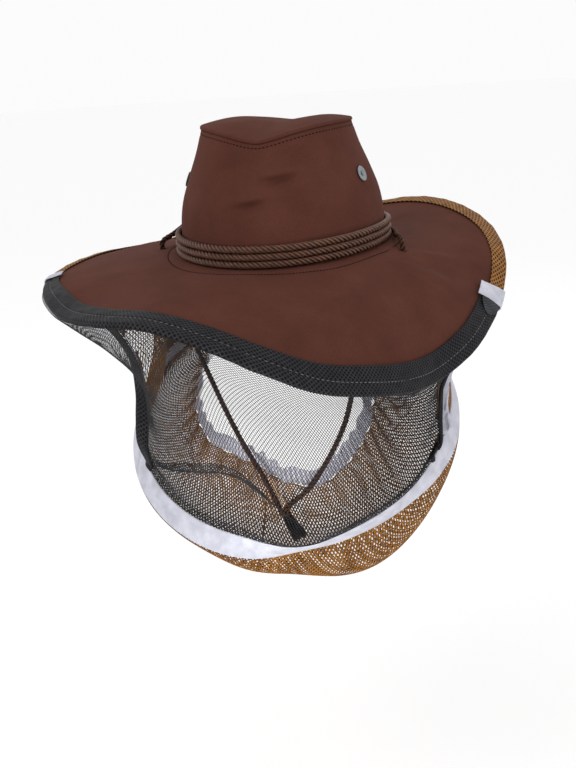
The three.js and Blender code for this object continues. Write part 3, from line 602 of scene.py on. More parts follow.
def uvParts(material):
    place = addNode(material, "ShaderNodeTexCoord").outputs["UV"]
    parts = addNode(material, "ShaderNodeSeparateXYZ", {"Vector": place})
    return parts.outputs["X"], parts.outputs["Y"]


def noise(material, place, scale, detail=3, roughness=0.55):
    return addNode(material, "ShaderNodeTexNoise", {
        "Vector": place, "Scale": scale, "Detail": detail, "Roughness": roughness,
    }).outputs["Fac"]


def wave(material, operation, along, pitch):
    return calc(material, operation, calc(material, "MULTIPLY", along, 2 * math.pi / (pitch * metre)))


def addPart(material, base, extra, share):
    return calc(material, "ADD", base, calc(material, "MULTIPLY", extra, share))


def clothMaterial(name, dark, light):
    material, shader = newMaterial(
        name, Roughness=0.93, Sheen_Weight=0.06, Sheen_Roughness=0.5, Sheen_Tint=srgb("#a3705c"),
        Specular_IOR_Level=0.08,
    )
    place = objectPlace(material)
    mottle, fibre = noise(material, place, 28, 4), noise(material, place, 900, 2, 0.7)
    mixed = addPart(material, calc(material, "MULTIPLY", mottle, 0.55), fibre, 0.45)
    blendColours(material, shader, mixed, dark, light, 0.3, 0.72)
    grain = addPart(material, noise(material, place, 1400, 2, 0.7), noise(material, place, 240, 3), 0.8)
    addBump(material, shader, grain, 0.35, 0.5)
    return material


def diamondMask(material, pitch, fill, squeeze=1):
    along, across = uvParts(material)
    along = calc(material, "MULTIPLY", along, squeeze)
    soft = 0.07
    masks = []
    for operation in ("ADD", "SUBTRACT"):
        slant = calc(material, operation, along, across)
        zigzag = calc(material, "PINGPONG", calc(material, "DIVIDE", slant, pitch * metre), 0.5)
        masks.append(addNode(material, "ShaderNodeMapRange", {
            "Value": zigzag, "From Min": fill / 2 + soft, "From Max": fill / 2 - soft, "To Min": 0.0, "To Max": 1.0,
        }).outputs["Result"])
    return calc(material, "MAXIMUM", *masks)


def netTapeMaterial(name, gapColour, strandColour, pitch, fill, squeeze=1):
    material, shader = newMaterial(name, Roughness=0.6, Specular_IOR_Level=0.12)
    mask = diamondMask(material, pitch, fill, squeeze)
    patches = noise(material, objectPlace(material), 120, 3)
    strength = calc(material, "MULTIPLY", mask, calc(material, "ADD", 0.3, patches))
    blendColours(material, shader, strength, gapColour, strandColour)
    addBump(material, shader, mask, 0.5, 0.35)
    return material


def tapeMaterial(name, dark, light, pitch=0.7, pleatShade=None):
    material, shader = newMaterial(name, Roughness=0.7, Sheen_Weight=0.1, Specular_IOR_Level=0.35)
    along, across = uvParts(material)
    weave = calc(material, "MULTIPLY", wave(material, "SINE", along, pitch), wave(material, "SINE", across, pitch))
    base = blendColours(material, shader, noise(material, objectPlace(material), 90, 4), dark, light, 0.35, 0.65)
    if pleatShade:  # painted shade along the bottoms of the pleats
        depth = addNode(material, "ShaderNodeAttribute", attribute_name="pleatShade").outputs["Fac"]
        shade = addNode(material, "ShaderNodeMix", {"Factor": depth, "B": srgb(pleatShade)}, data_type="RGBA")
        material.node_tree.links.new(base, shade.inputs["A"])
        material.node_tree.links.new(shade.outputs["Result"], shader.inputs["Base Color"])
    addBump(material, shader, weave, 0.25, 0.12)
    return material


def threadMaterial(name, dark, light, pitch, roughness=0.45, groove=None, shine=0.5):
    material, shader = newMaterial(name, Roughness=roughness, Specular_IOR_Level=shine)
    along, across = uvParts(material)
    yarn = wave(material, "SINE", addPart(material, along, across, 1.6), pitch)
    patches = noise(material, objectPlace(material), 260, 2)
    toneAndGrooveShade = addPart(material, patches, yarn, 0.28)
    if groove:  # painted shade, darker in the grooves where the plies meet and lighter on the ply crowns
        around = calc(material, "SUBTRACT", wave(material, "COSINE", across, groove), 0.68)
        toneAndGrooveShade = addPart(material, toneAndGrooveShade, around, 0.95)
    blendColours(material, shader, toneAndGrooveShade, dark, light, 0.2, 0.85)
    addBump(material, shader, yarn, 0.4, 0.15)
    return material


def strandMaterial(name, dark, light):
    material, shader = newMaterial(name, Roughness=0.55, Specular_IOR_Level=0.2)
    place = objectPlace(material)
    blendColours(material, shader, noise(material, place, 60, 3), dark, light, 0.3, 0.7)
    addBump(material, shader, noise(material, place, 2500, 1), 0.3, 0.1)
    return material


def metalMaterial(name, dark, light):
    material, shader = newMaterial(name, Metallic=0.85, Roughness=0.45)
    blendColours(material, shader, noise(material, objectPlace(material), 500, 3), dark, light)
    return material


brownCloth = clothMaterial("brownCloth", "#472820", "#5a352c")
darkStitch = threadMaterial("darkStitch", "#160907", "#28120c", 0.5, roughness=0.8, shine=0.08)
greyStitch = threadMaterial("greyStitch", "#4c4c52", "#7d7d84", 0.5)
# satinCord and chinThread get painted shade in the grooves between their plies (groove is the ply circumference in
# mm)
satinCord = threadMaterial("satinCord", "#0e0502", "#744a35", 0.62, roughness=0.33, groove=7.79, shine=0.4)
chinThread = threadMaterial("chinThread", "#120806", "#56331f", 0.6, roughness=0.55, groove=7.87, shine=0.15)
tasselThread = threadMaterial("tasselThread", "#080606", "#1c1716", 0.5, roughness=0.6, shine=0.12)
blackFold = netTapeMaterial("blackFold", "#040404", "#343337", 3.3, 0.3, 0.85)
paleFold = netTapeMaterial("paleFold", "#080809", "#5b5d62", 2.4, 0.26, 0.8)
brownFold = netTapeMaterial("brownFold", "#1a0d06", "#a06c33", 3.5, 0.4, 0.55)
blackStrand = strandMaterial("blackStrand", "#101012", "#222226")
brownStrand = strandMaterial("brownStrand", "#6a4009", "#93601a")
whiteTape = tapeMaterial("whiteTape", "#b0b1bc", "#c6c7d2")
# the ruffle cloth gets painted shade along its pleats
ruffleCloth = tapeMaterial("ruffleCloth", "#e6e5f0", "#f4f3fa", 0.9, pleatShade="#a3a2b0")
eyeletMetal = metalMaterial("eyeletMetal", "#6d7375", "#9aa0a2")
print("materials ready")

makeCamera(cameraPlace)
makeLight()


# Chin cord
def smoothPath(rows, count):
    rows = [2 * rows[0] - rows[1], *rows, 2 * rows[-1] - rows[-2]]
    places = []
    for share in np.linspace(0, 1, count):
        at = min(share * (len(rows) - 3), len(rows) - 3 - 1e-9)
        k, t = int(at), at - int(at)
        a, b, c, d = rows[k:k + 4]
        spans = [max(np.linalg.norm(q - p) ** 0.5, 1e-4) for p, q in ((a, b), (b, c), (c, d))]
        slopeIn = ((b - a) / spans[0] - (c - a) / (spans[0] + spans[1]) + (c - b) / spans[1]) * spans[1]
        slopeOut = ((c - b) / spans[1] - (d - b) / (spans[1] + spans[2]) + (d - c) / spans[2]) * spans[1]
        places.append(
            (2 * t**3 - 3 * t**2 + 1) * b + (t**3 - 2 * t**2 + t) * slopeIn
            + (3 * t**2 - 2 * t**3) * c + (t**3 - t**2) * slopeOut
        )
    return np.array(places)


def evenPath(places, step):
    lengths = np.concatenate([[0], np.cumsum(np.linalg.norm(np.diff(places, axis=0), axis=1))])
    count = int(round(lengths[-1] / step))
    at = np.linspace(0, lengths[-1], count + 1)
    return np.stack([np.interp(at, lengths, places[:, axis]) for axis in range(3)], axis=-1), lengths[-1]


def pathFrames(places):
    ahead = np.roll(places, -1, axis=0) - np.roll(places, 1, axis=0)
    ahead[0], ahead[-1] = places[1] - places[0], places[-1] - places[-2]
    ahead = unit(ahead)
    side = np.cross(ahead[0], [0, 0, 1])
    sides = []
    for direction in ahead:
        side = unit(side - direction * np.dot(side, direction))
        sides.append(side)
    return ahead, np.array(sides), np.cross(ahead, sides)


def twistPlies(bm, look, places, frames, length, turns):
    ahead, across, up = frames
    lone = look["diameter"] / 2 / (1 + 1 / math.sin(math.pi / look["plies"]))
    helix, plyRadius = (look["diameter"] / 2 - lone) * look["spread"], lone * look["swell"]
    count = len(places) - 1
    parts = []
    for ply in range(look["plies"]):
        part = newGrid(count, look["sides"], (length, 2 * math.pi * plyRadius))

        def place(u, v, ply=ply):
            row = np.rint(u * count).astype(int)
            turn = 2 * np.pi * (turns * u + ply / look["plies"])
            spoke = scaled(across[row], np.cos(turn)) + scaled(up[row], np.sin(turn))
            swing = scaled(up[row], np.cos(turn)) - scaled(across[row], np.sin(turn))
            plySide = np.cross(unit(ahead[row] + swing * (2 * np.pi * turns / length * helix)), spoke)
            around = 2 * np.pi * v
            ring = scaled(spoke, np.cos(around)) + scaled(plySide, np.sin(around))
            return places[row] + spoke * helix + ring * plyRadius

        bendVerts(part, place)
        mergeVerts(part)
        parts.append(part)
    joinParts(bm, parts)
    turnFaces(bm)


chinCord = {"diameter": 3.6, "plies": 3, "pitch": 12.5, "step": 1.5, "sides": 7, "spread": 1.3, "swell": 1.5}
tassel = {
    "length": 21, "headDiameter": 9, "lean": 30, "top": (17.5, -100, -214.8), "threads": 64, "thread": 0.42,
}
tasselCore = {
    "down": [0, 0.4, 1.5, 3, 5, 7, 10, 13, 16, 18, 19, 19.4, 19.4],
    "radius": [0, 3.2, 4.1, 4.1, 3.6, 3.4, 3.8, 4.2, 4.6, 4.6, 3.6, 1.8, 0],
}
lean = math.radians(tassel["lean"])
tasselTop = np.array(tassel["top"], float)
tasselAxis = np.array([math.sin(lean), 0, -math.cos(lean)])
tasselSide = np.array([math.cos(lean), 0, math.sin(lean)])
branchShift = chinCord["diameter"] / 2 + 0.2
holeRight, holeLeft = (-80, 22), (82, 22)


def brimHole(hole, up):
    return brimOffset(np.float64(hole[0]), np.float64(hole[1]), 0) + np.array([0, 0, up])


def overTassel(shift, back):
    return tasselTop + tasselSide * shift - tasselAxis * back


def besideCrown(degrees, out, up):
    return footPoint(np.float64(degrees), np.float64(out), up)


cordRows = [
    overTassel(-branchShift, clearance),
    overTassel(-branchShift - 0.3, 6),
    np.array([-4.0, -88, -188]),
    np.array([-30.0, -72, -156]),
    np.array([-78.0, -35, -84]),
    brimHole(holeRight, -16),
    brimHole(holeRight, 0),
    brimHole(holeRight, 7),
    *(besideCrown(*row) for row in (
        (-86, 14, 10), (-93, 9.6, 14.5), (-102, 6.8, 18.8), (-114, 3.2, 21), (-128, 2.9, 21), (-144, 3.6, 20.8),
        (-158, 6.6, 19.2), (-170, 8.7, 16), (176, 8.8, 11.5), (160, 8.8, 7), (144, 8.8, 4), (126, 8.9, 2.8),
        (108, 9, 2.6), (95, 11, 2.8), (87, 16, 3.6),
    )),
    brimHole(holeLeft, 5),
    brimHole(holeLeft, 0),
    brimHole(holeLeft, -16),
    np.array([74.0, -52, -94]),
    np.array([62.0, -76, -144.5]),
    np.array([36.0, -93, -190]),
    overTassel(branchShift + 0.3, 6),
    overTassel(branchShift, clearance),
]


def makeChinCord():
    route, length = evenPath(smoothPath(cordRows, 1200), chinCord["step"])
    bm = newJoined()
    twistPlies(bm, chinCord, route, pathFrames(route), length, length / chinCord["pitch"])
    fillEnds(bm)
    return dressNode(makeMesh("chinCord", bm, chinThread), "chin_cord", "chin_cord"), route, length


def makeTasselWinding():
    turns, radius = 9, tassel["headDiameter"] / 2 - 0.45
    part = newGrid(turns * 26, 6, (turns * 26, 2))

    def surface(u, v):
        turn, around = 2 * np.pi * turns * u, 2 * np.pi * v
        out = radius + 0.15 * np.sin(5 * turn) + tassel["thread"] * np.cos(around)
        down = 0.6 + 4.4 * u + tassel["thread"] * np.sin(around)
        return points(out * np.cos(turn), out * np.sin(turn), down)

    bendVerts(part, surface)
    mergeVerts(part)
    return part


def makeTasselCore():
    rows = len(tasselCore["down"]) - 1
    part = newGrid(24, rows, (28, 12))

    def surface(u, v):
        row = np.rint(v * rows).astype(int)
        wide, down = (np.array(tasselCore[key])[row] for key in ("radius", "down"))
        return points(wide * np.cos(2 * np.pi * u), wide * np.sin(2 * np.pi * u), down)

    bendVerts(part, surface)
    mergeVerts(part)
    return part


def makeTasselThread(number, shape):
    start = 2 * math.pi * number / tassel["threads"] + shape.uniform(-0.05, 0.05)
    layer = 1 if number % 2 else 0.8
    reach = shape.uniform(0.93, 1.02)
    sway = shape.uniform(-0.25, 0.25)
    part = newGrid(12, 5, (16, 2.5))

    def surface(u, v):
        down = 4.6 + (tassel["length"] * reach - 4.6) * u
        flare = layer * (3.7 + 1.9 * u**0.8 + 0.35 * np.sin(3 * u + 9 * sway))
        swing, around = start + sway * u, 2 * np.pi * v
        radius = tassel["thread"] * (1 - 5 * np.maximum(u - 0.9, 0))
        out, aside = flare + radius * np.cos(around), radius * np.sin(around)
        return points(
            out * np.cos(swing) - aside * np.sin(swing), out * np.sin(swing) + aside * np.cos(swing), down,
        )

    bendVerts(part, surface)
    mergeVerts(part)
    fillEnds(part)
    return part


def makeTassel():
    bm = newJoined()
    shape = np.random.default_rng(7)
    parts = [makeTasselWinding(), makeTasselCore()]
    joinParts(bm, parts + [makeTasselThread(number, shape) for number in range(tassel["threads"])])
    turned = Matrix((Vector(tasselSide), Vector(np.cross(tasselAxis, tasselSide)), Vector(tasselAxis))).transposed()
    moved = Matrix.Translation(Vector(tasselTop) * metre) @ turned.to_4x4()
    bmesh.ops.transform(bm, matrix=moved, verts=bm.verts)
    turnFaces(bm)
    return dressNode(makeMesh("chinTassel", bm, tasselThread), "tassel_thread", "chin_tassel")


chinCordPiece, cordRoute, cordLength = makeChinCord()
tasselPiece = makeTassel()
print("chin cord", round(cordLength), "mm")


# Crown
crownLook = {"columns": 180, "rows": 60, "tipRows": 30}
crownSeam = {"below": 4.2, "groove": 0.8, "halfWidth": 1.3, "count": 128, "length": 2.5, "radius": 0.55}
eyeletLook = {"angle": 76, "height": 59, "openRadius": 3.6, "sides": 36}
eyeletSection = {
    "radius": [2.1, 4.7, 4.7, 3.4, 3.4, 6.3, 6.5, 6.2, 5.4, 4.6, 3.0, 2.2],
    "height": [-3.6, -3.6, -3.0, -2.9, 0.4, 0.4, 0.7, 1.1, 1.2, 0.95, 0.9, 0.6],
}
crownFolds = {
    "angle": [20, 16, 1, -1, -12, 30],
    "height": [62, 67.5, 43.5, 48.5, 72, 78],
    "halfAngle": [10, 12, 8, 9, 14, 16],
    "halfHeight": [2.4, 3.6, 2.2, 3.2, 7, 7],
    "press": [5.4, -5, 4.6, -4.4, 4.4, 3.4],
}


def crownSurface(u, v):
    degrees = u * 360
    place = wallPoint(degrees, v)
    soft = 0.4 * ripple(radians(degrees) * 5, v * 7, 0.4) * np.sin(np.pi * v)
    for middle, height, halfAngle, halfHeight, press in zip(*crownFolds.values()):
        across = wrapDegrees(degrees - middle) / halfAngle
        rise = (place[:, 2] - height - 2.2 * across) / halfHeight
        soft = soft + press * np.exp(-(across**2) - rise**2)
    below = ((1 - v) * 100 - crownSeam["below"]) / crownSeam["halfWidth"]
    soft = soft + crownSeam["groove"] * np.exp(-(below**2))
    return place - scaled(outwardAt(place), 0.35 + soft * 0.6)


def tipSurface(u, v):
    angle = 2 * np.pi * u
    ring = np.minimum(v / 0.94, 1)
    x = ring * crown["tipHalfWidth"] * np.sin(angle)
    y = crown["tipShift"] - ring * crown["tipHalfLength"] * np.cos(angle)
    z = tipHeight(x, y) + crown["dome"] * (1 - ring**2) + clearance + clothThickness - 0.2
    z = z + 0.3 * ripple(x / 14, y / 11, 1.3) * (1 - ring**4)
    roll = np.clip((v - 0.94) / 0.06, 0, 1) * np.pi * 0.5
    out = 0.75 * np.sin(roll)
    z = z - 2.3 * (1 - np.cos(roll))
    return points(x + out * np.sin(angle), y - out * np.cos(angle), z)


def eyeletPlace(sign):
    degrees = np.float64(sign * eyeletLook["angle"])
    shares = np.linspace(0, 1, 400)
    heights = wallPoint(np.full(400, degrees), shares)[:, 2]
    share = float(np.interp(eyeletLook["height"], heights, shares))
    along = wallPoint(degrees + 1, share) - wallPoint(degrees - 1, share)
    up = wallPoint(degrees, share + 0.01) - wallPoint(degrees, share - 0.01)
    return wallPoint(degrees, share), unit(np.cross(along, up))


def turnCrown(bm):
    turnOutward(bm, Vector((0, 0, 0.05)))


def openEyelets(bm):
    turnCrown(bm)
    for sign in (-1, 1):
        openHole(bm, Vector(eyeletPlace(sign)[0]) * metre, eyeletLook["openRadius"] * metre)


def makeEyelet(name, node, sign):
    bm = newJoined()
    middle, normal = eyeletPlace(sign)
    rim = [bm.verts.new((radius * metre, 0, height * metre)) for radius, height in zip(*eyeletSection.values())]
    edges = [bm.edges.new((a, b)) for a, b in zip(rim, rim[1:] + rim[:1])]
    bmesh.ops.spin(
        bm, geom=rim + edges, cent=(0, 0, 0), axis=(0, 0, 1), angle=2 * math.pi, steps=eyeletLook["sides"],
        use_merge=True, use_duplicate=False,
    )
    turn = Vector((0, 0, 1)).rotation_difference(Vector(normal)).to_matrix().to_4x4()
    bmesh.ops.transform(bm, matrix=Matrix.Translation(Vector(middle) * metre) @ turn, verts=bm.verts)
    turnFaces(bm)
    return dressNode(makeMesh(name, bm, eyeletMetal), "eyelet_metal", node)


def stitchRow(name, places, normals, seam, material, slotName):
    bm = newJoined()
    long, wide, tall = (size * metre for size in (seam["length"] / 2, seam["radius"], seam["radius"] * 0.6))
    size = Matrix.Diagonal((long, wide, tall, 1))
    ahead = unit(np.roll(places, -1, axis=0) - np.roll(places, 1, axis=0))
    for place, direction, normal in zip(places, ahead, normals):
        side = np.cross(normal, direction)
        turn = Matrix((Vector(direction), Vector(side), Vector(normal))).transposed().to_4x4()
        moved = Matrix.Translation(Vector(place) * metre) @ turn
        bmesh.ops.create_icosphere(bm, subdivisions=1, radius=1, matrix=moved @ size)
    return dressNode(makeMesh(name, bm, material), slotName)


def makeCrownStitches():
    degrees = np.arange(crownSeam["count"]) * 360 / crownSeam["count"]
    share = np.full(crownSeam["count"], 1 - crownSeam["below"] / 100)
    upward = wallPoint(degrees, share + 0.01) - wallPoint(degrees, share - 0.01)
    place = crownSurface(degrees / 360, share)
    along = unit(np.roll(place, -1, axis=0) - np.roll(place, 1, axis=0))
    normal = unit(np.cross(along, upward))
    return stitchRow("crownStitches", place + normal * 0.1, normal, crownSeam, darkStitch, "brown_cloth")


bentPiece(
    "crownWall", "brown_cloth", "crown_wall", newGrid(crownLook["columns"], crownLook["rows"], (560, 105)),
    crownSurface, brownCloth, amend=openEyelets, wall={"thickness": clothThickness - 0.3, "offset": -1},
)
bentPiece(
    "crownTip", "brown_cloth", "crown_tip", newGrid(crownLook["columns"], crownLook["tipRows"], (400, 66)),
    tipSurface, brownCloth, amend=turnCrown, wall={"thickness": clothThickness - 0.4, "offset": -1},
)
makeEyelet("eyeletRight", "eyelet_right", -1)
makeEyelet("eyeletLeft", "eyelet_left", 1)
makeCrownStitches()
print("crown done")

# Hatband
bandLook = {"diameter": 5.7, "plies": 4, "pitch": 17, "steps": 440, "sides": 8, "spread": 1, "swell": 1.05}


def makeBandCord(number, name, node):
    radius = bandLook["diameter"] / 2
    height = clearance + radius + number * (bandLook["diameter"] + clearance)
    degrees = np.linspace(0, 360, bandLook["steps"] + 1)
    places = footPoint(degrees, clearance + radius, height)
    angle, length = radians(degrees), pathLength(places)
    outward = unit(points(np.sin(angle) / crown["halfWidth"], -np.cos(angle) / crown["halfLength"], 0))
    upward = np.zeros_like(outward) + np.array([0.0, 0.0, 1.0])
    bm = newJoined()
    frames = np.cross(upward, outward), outward, upward
    twistPlies(bm, bandLook, places, frames, length, -round(length / bandLook["pitch"]))
    return dressNode(makeMesh(name, bm, satinCord), "band_cord", node)


for bandNumber, bandName in enumerate(("lower", "middle", "upper")):
    makeBandCord(bandNumber, "bandCord" + bandName.capitalize(), "band_cord_" + bandName)
print("hatband done")

# Brim
brimLook = {"columns": 240, "rows": 66, "openRadius": 2.4}
brimSeam = {"halfWidth": 1.5, "depth": 0.8, "count": 235, "length": 2.5, "radius": 0.5, "sunk": 0.45}
seamRing = {
    "angle": [-150, -109, -64, -47, -30, -12, 2, 14, 28, 39, 51, 65, 77, 120],
    "out": [13, 13, 13.5, 15.5, 18, 16.5, 13, 12.5, 12.5, 13.5, 12, 10.8, 12.5, 13],
}
brimCreases = {
    "angle": [94, 84, 76, 18, -58],
    "out": [58, 62, 45, 70, 60],
    "tilt": [0.3, 0.3, 0.2, 0, 0],
    "halfAngle": [3.5, 3.5, 3, 9, 14],
    "halfOut": [34, 30, 16, 26, 26],
    "height": [2.2, -1.8, 0.9, 0.9, 0.8],
}


def brimSurface(u, v):
    degrees = u * 360
    reach = brimReach(degrees)
    out = -clothThickness + (reach - 1 + clothThickness) * v
    fromSeam = (out - readRound(seamRing, "out", degrees)) / brimSeam["halfWidth"]
    seam = -brimSeam["depth"] * np.exp(-(fromSeam**2))
    fade = np.clip((out - 20) / 30, 0, 1) * np.clip((reach - out) / 25, 0, 1)
    soft = 0.5 * ripple(radians(degrees) * 6, out / 17, 2.2) * fade
    for middle, far, tilt, halfAngle, halfOut, height in zip(*brimCreases.values()):
        across = (wrapDegrees(degrees - middle) - (out - far) * tilt) / halfAngle
        soft = soft + height * np.exp(-(across**2) - ((out - far) / halfOut) ** 2)
    return brimOffset(degrees, out, seam + soft)


def openBrim(bm):
    turnIf(bm, sum(face.normal.z for face in bm.faces) < 0)
    for hole in (holeRight, holeLeft):
        openHole(bm, Vector(brimHole(hole, 0)) * metre, brimLook["openRadius"] * metre)


def makeSeamRing():
    degrees = np.arange(brimSeam["count"]) * 360 / brimSeam["count"]
    out = readRound(seamRing, "out", degrees)
    place = brimOffset(degrees, out, clothThickness / 2 - brimSeam["sunk"])
    normal = brimDirections(degrees, out)[1]
    return stitchRow("brimStitches", place, normal, brimSeam, darkStitch, "brown_cloth")


bentPiece(
    "brim", "brown_cloth", "brim", newGrid(brimLook["columns"], brimLook["rows"], (900, 120)), brimSurface,
    brownCloth, amend=openBrim, wall={"thickness": clothThickness, "offset": 0},
)
makeSeamRing()
print("brim done")

# Bindings and tabs
frontLook = {
    "width": 20, "thickness": 1.5, "puff": 0.35, "seed": 0.3, "columns": 320, "rows": 44, "seamAt": -8.5,
}
bindingSeam = {"step": 4.4, "length": 3.1, "radius": 0.33}
rearLook = {"width": 14, "thickness": 1.2, "puff": 0.3, "seed": 1.7, "columns": 300, "rows": 34}
tabLook = {
    "width": 23, "thickness": 1, "puff": 0.25, "seed": 3.1, "columns": 16, "rows": 44,
    "clear": clearance + frontLook["thickness"] + 0.75, "halfAngle": 14 / 7.2,
}
tabPlaces = {"Right": {"skew": 0, "stretch": 1}, "Left": {"skew": 3.6, "stretch": 1.55}}
edgeStep = 3.75
narrowing = {"most": 0.42, "halfAngle": 15}


def foldProfile(width, near, tip, v, swell):
    flat = width - 1
    arc = math.pi * (near + tip) / 2
    total = 2 * flat + arc
    run = v * total
    past = np.where(run < flat, -width + run, np.where(run > total - flat, -width + (total - run), 0.0))
    turn = np.clip((run - flat) / arc, 0, 1) * np.pi
    bent = (run >= flat) & (run <= total - flat)
    past = np.where(bent, -1 + (1 + tip) * np.sin(turn), past)
    up = np.where(bent, near * np.cos(turn), np.where(run < flat, near, -near))
    up = up + np.sign(up) * swell * np.sin(np.clip(-past / width, 0, 1) * np.pi) * (~bent)
    return past, up


def widthAt(look, degrees):
    near = wrapDegrees(degrees - seamAngles["brimRight"]) / narrowing["halfAngle"]
    return look["width"] * (1 - narrowing["most"] * np.exp(-(near**2)))


def bindingSurface(look, span, skew):
    clear = look.get("clear", clearance)
    near = clothThickness / 2 + clear + look["thickness"]
    tip = -1 + clear + look["thickness"]

    def surface(u, v):
        degrees = span[0] + (span[1] - span[0]) * u
        width = widthAt(look, degrees)
        past, up = foldProfile(width, near, tip, v, look["puff"])
        degrees = degrees + skew * past / width
        wrinkle = 0.22 * ripple(radians(degrees) * 46, past / 3.1, look["seed"])
        wrinkle = wrinkle + 0.18 * ripple(radians(degrees) * 19, past / 6, look["seed"] + 2)
        if "seamAt" in look:
            fromSeam = (past - look["seamAt"] * width / look["width"]) / 0.9
            wrinkle = wrinkle - 0.75 * np.exp(-(fromSeam**2))
        up = up + np.sign(up) * np.minimum(wrinkle, 0.35) * np.clip((past + width) / 2, 0, 1)
        flat = brimOffset(degrees, brimReach(degrees) + np.minimum(past, -1.5), up)
        return np.where((past < -1.5)[..., None], flat, edgeOffset(degrees, past, up))
    return surface


def turnBinding(bm):
    outer = 0
    for face in bm.faces:
        if abs(face.normal.z) < 0.4:
            middle = face.calc_center_median()
            outer += face.normal.dot(Vector((middle.x, middle.y, 0)).normalized())
    turnIf(bm, outer < 0)


def makeBinding(name, node, slotName, look, span, material, skew=0):
    bm = newGrid(look["columns"], look["rows"], (3.8 * abs(span[1] - span[0]), 2 * look["width"] + 3))
    wall = {"thickness": look["thickness"] * 0.75, "offset": -1}
    surface = bindingSurface(look, span, skew)
    return bentPiece(name, slotName, node, bm, surface, material, closed=False, amend=turnBinding, wall=wall)


frontSpan = (seamAngles["brimRight"] + 0.25, seamAngles["brimLeft"] - 0.25)
rearSpan = (seamAngles["brimLeft"] + 0.25, 360 + seamAngles["brimRight"] - 0.25)
makeBinding("frontBinding", "front_binding", "black_net_tape", frontLook, frontSpan, blackFold)
makeBinding("rearBinding", "rear_binding", "brown_net_tape", rearLook, rearSpan, brownFold)
for side, place in tabPlaces.items():
    middle, half = seamAngles["brim" + side], tabLook["halfAngle"] * place["stretch"]
    makeBinding(
        "tab" + side, "tab_" + side.lower(), "white_tape", tabLook, (middle - half, middle + half), whiteTape,
        place["skew"],
    )
endLook = {"from": 90.1, "reach": 4.8, "middle": -10.8, "slope": 2.5, "width": 20, "dome": 1.3, "skew": 3.6}
bindingTop = clothThickness / 2 + clearance + frontLook["thickness"]


def endSurface(s, t):
    across = 2 * s - 1
    half = endLook["width"] / 2 * np.sqrt(np.maximum(1 - t**1.6, 0.0004))
    past = endLook["middle"] + half * across + endLook["slope"] * t
    degrees = endLook["from"] - endLook["reach"] * t + endLook["skew"] * past / tabLook["width"]
    return edgeOffset(degrees, past, bindingTop + 0.3 + endLook["dome"] * (1 - t) * (1 - across**2))


def makeBindingStitches():
    count = int((frontSpan[1] - frontSpan[0]) * edgeStep / bindingSeam["step"])
    degrees = np.linspace(frontSpan[0] + 4, frontSpan[1] - 4, count)
    out = brimReach(degrees) + frontLook["seamAt"] * widthAt(frontLook, degrees) / frontLook["width"]
    place, normal = brimOffset(degrees, out, bindingTop + 0.05), brimDirections(degrees, out)[1]
    return stitchRow("bindingStitches", place[1:-1], normal[1:-1], bindingSeam, greyStitch, "black_net_tape")


makeBindingStitches()
bentPiece(
    "bindingEnd", "black_net_tape", None, newGrid(16, 20, (endLook["width"], 22)), endSurface, paleFold,
    closed=False, wall={"thickness": 0.5, "offset": -1, "even": False},
)
print("bindings done")

# Nets
frontNetLook = {"spacing": 2.45, "rise": 1.5, "strand": 0.46, "ridge": 0.2}
backNetLook = {"spacing": 3.5, "rise": 1, "strand": 1.0, "ridge": 0.28}
skirtNetLook = {"spacing": 3.7, "rise": 1, "strand": 1.22, "ridge": 0.3}
hemNetLook = {"spacing": 1.9, "rise": 1, "strand": 0.5, "ridge": 0.15}
hemSpan = (0.935, 0.998)


def wholeArea(bm):
    return sum(face.calc_area() for face in bm.faces)


def finishNet(name, bm, look, material, slotName, node, length):
    flatArea = wholeArea(bm)
    turnFaces(bm)
    cells = list(bm.faces)
    bmesh.ops.inset_individual(
        bm, faces=cells, thickness=look["strand"] / 2 * metre, depth=-look["ridge"] * metre, use_even_offset=True,
    )
    reach = 3 * look["spacing"] * metre
    stretched = [face for face in bm.faces if max(edge.calc_length() for edge in face.edges) > reach]
    bmesh.ops.delete(bm, geom=list({*cells, *stretched}), context="FACES")
    strandArea, cut = wholeArea(bm), (flatArea / (length * metre), length * metre)
    print(name, "cells", len(bm.faces) // 4, "cover", round(strandArea / flatArea, 2), "cut", *np.round(cut, 3))
    piece = makeMesh(name, bm, material, smooth=False)
    dressNode(piece, slotName, *([node] if node else []))
    return piece, cut, strandArea


def diamondGrid(columns, rows, size):
    bm = newGrid(columns, rows, size)
    straight = list(bm.edges)
    inner = [edge for edge in straight if not edge.is_boundary]
    bmesh.ops.poke(bm, faces=bm.faces)
    bmesh.ops.dissolve_edges(bm, edges=inner, use_verts=False)
    return bm


foldLine = {"u": [0.1, 0.176, 0.3, 0.41, 0.527, 0.6], "v": [0.76, 0.711, 0.623, 0.585, 0.686, 0.78]}


def foldedFront(u, v):
    place = frontPanel(u, v)
    middle = readTable(foldLine, "u", "v", np.clip(u, 0.1, 0.6))
    fade = np.clip((u - 0.06) / 0.1, 0, 1) * np.clip((0.6 - u) / 0.1, 0, 1)
    drop = (v - middle) / 0.03
    push = fade * (10 * np.exp(-(drop**2)) - 7 * np.exp(-((drop - 1.7) ** 2)))
    soft = 1.6 * ripple(u * 17, v * 5, 0.5) * np.sin(np.pi * np.clip(v, 0, 1)) ** 2 * np.sin(np.pi * u)
    return place + scaled(outwardAt(place), push + soft)


def foldedBack(u, v):
    place = backPanel(u, v)
    fade = np.sin(np.pi * np.clip(v / 0.94, 0, 1)) * np.clip(u / 0.12, 0, 1) * np.clip((1 - u) / 0.12, 0, 1)
    push = (4.2 * np.sin(38 * u + 2 * np.sin(7 * u)) + 2.2 * np.sin(71 * u + 3 * v)) * fade
    return place + scaled(outwardAt(place), push)


def foldStrip(u, v):
    along = 0.12 + 0.36 * u
    middle = readTable(foldLine, "u", "v", along)
    place = foldedFront(along, middle + 0.06 * (v - 0.4) * np.sin(np.pi * np.clip(u, 0.02, 0.98)) ** 0.5)
    return place + scaled(outwardAt(place), -1.2)


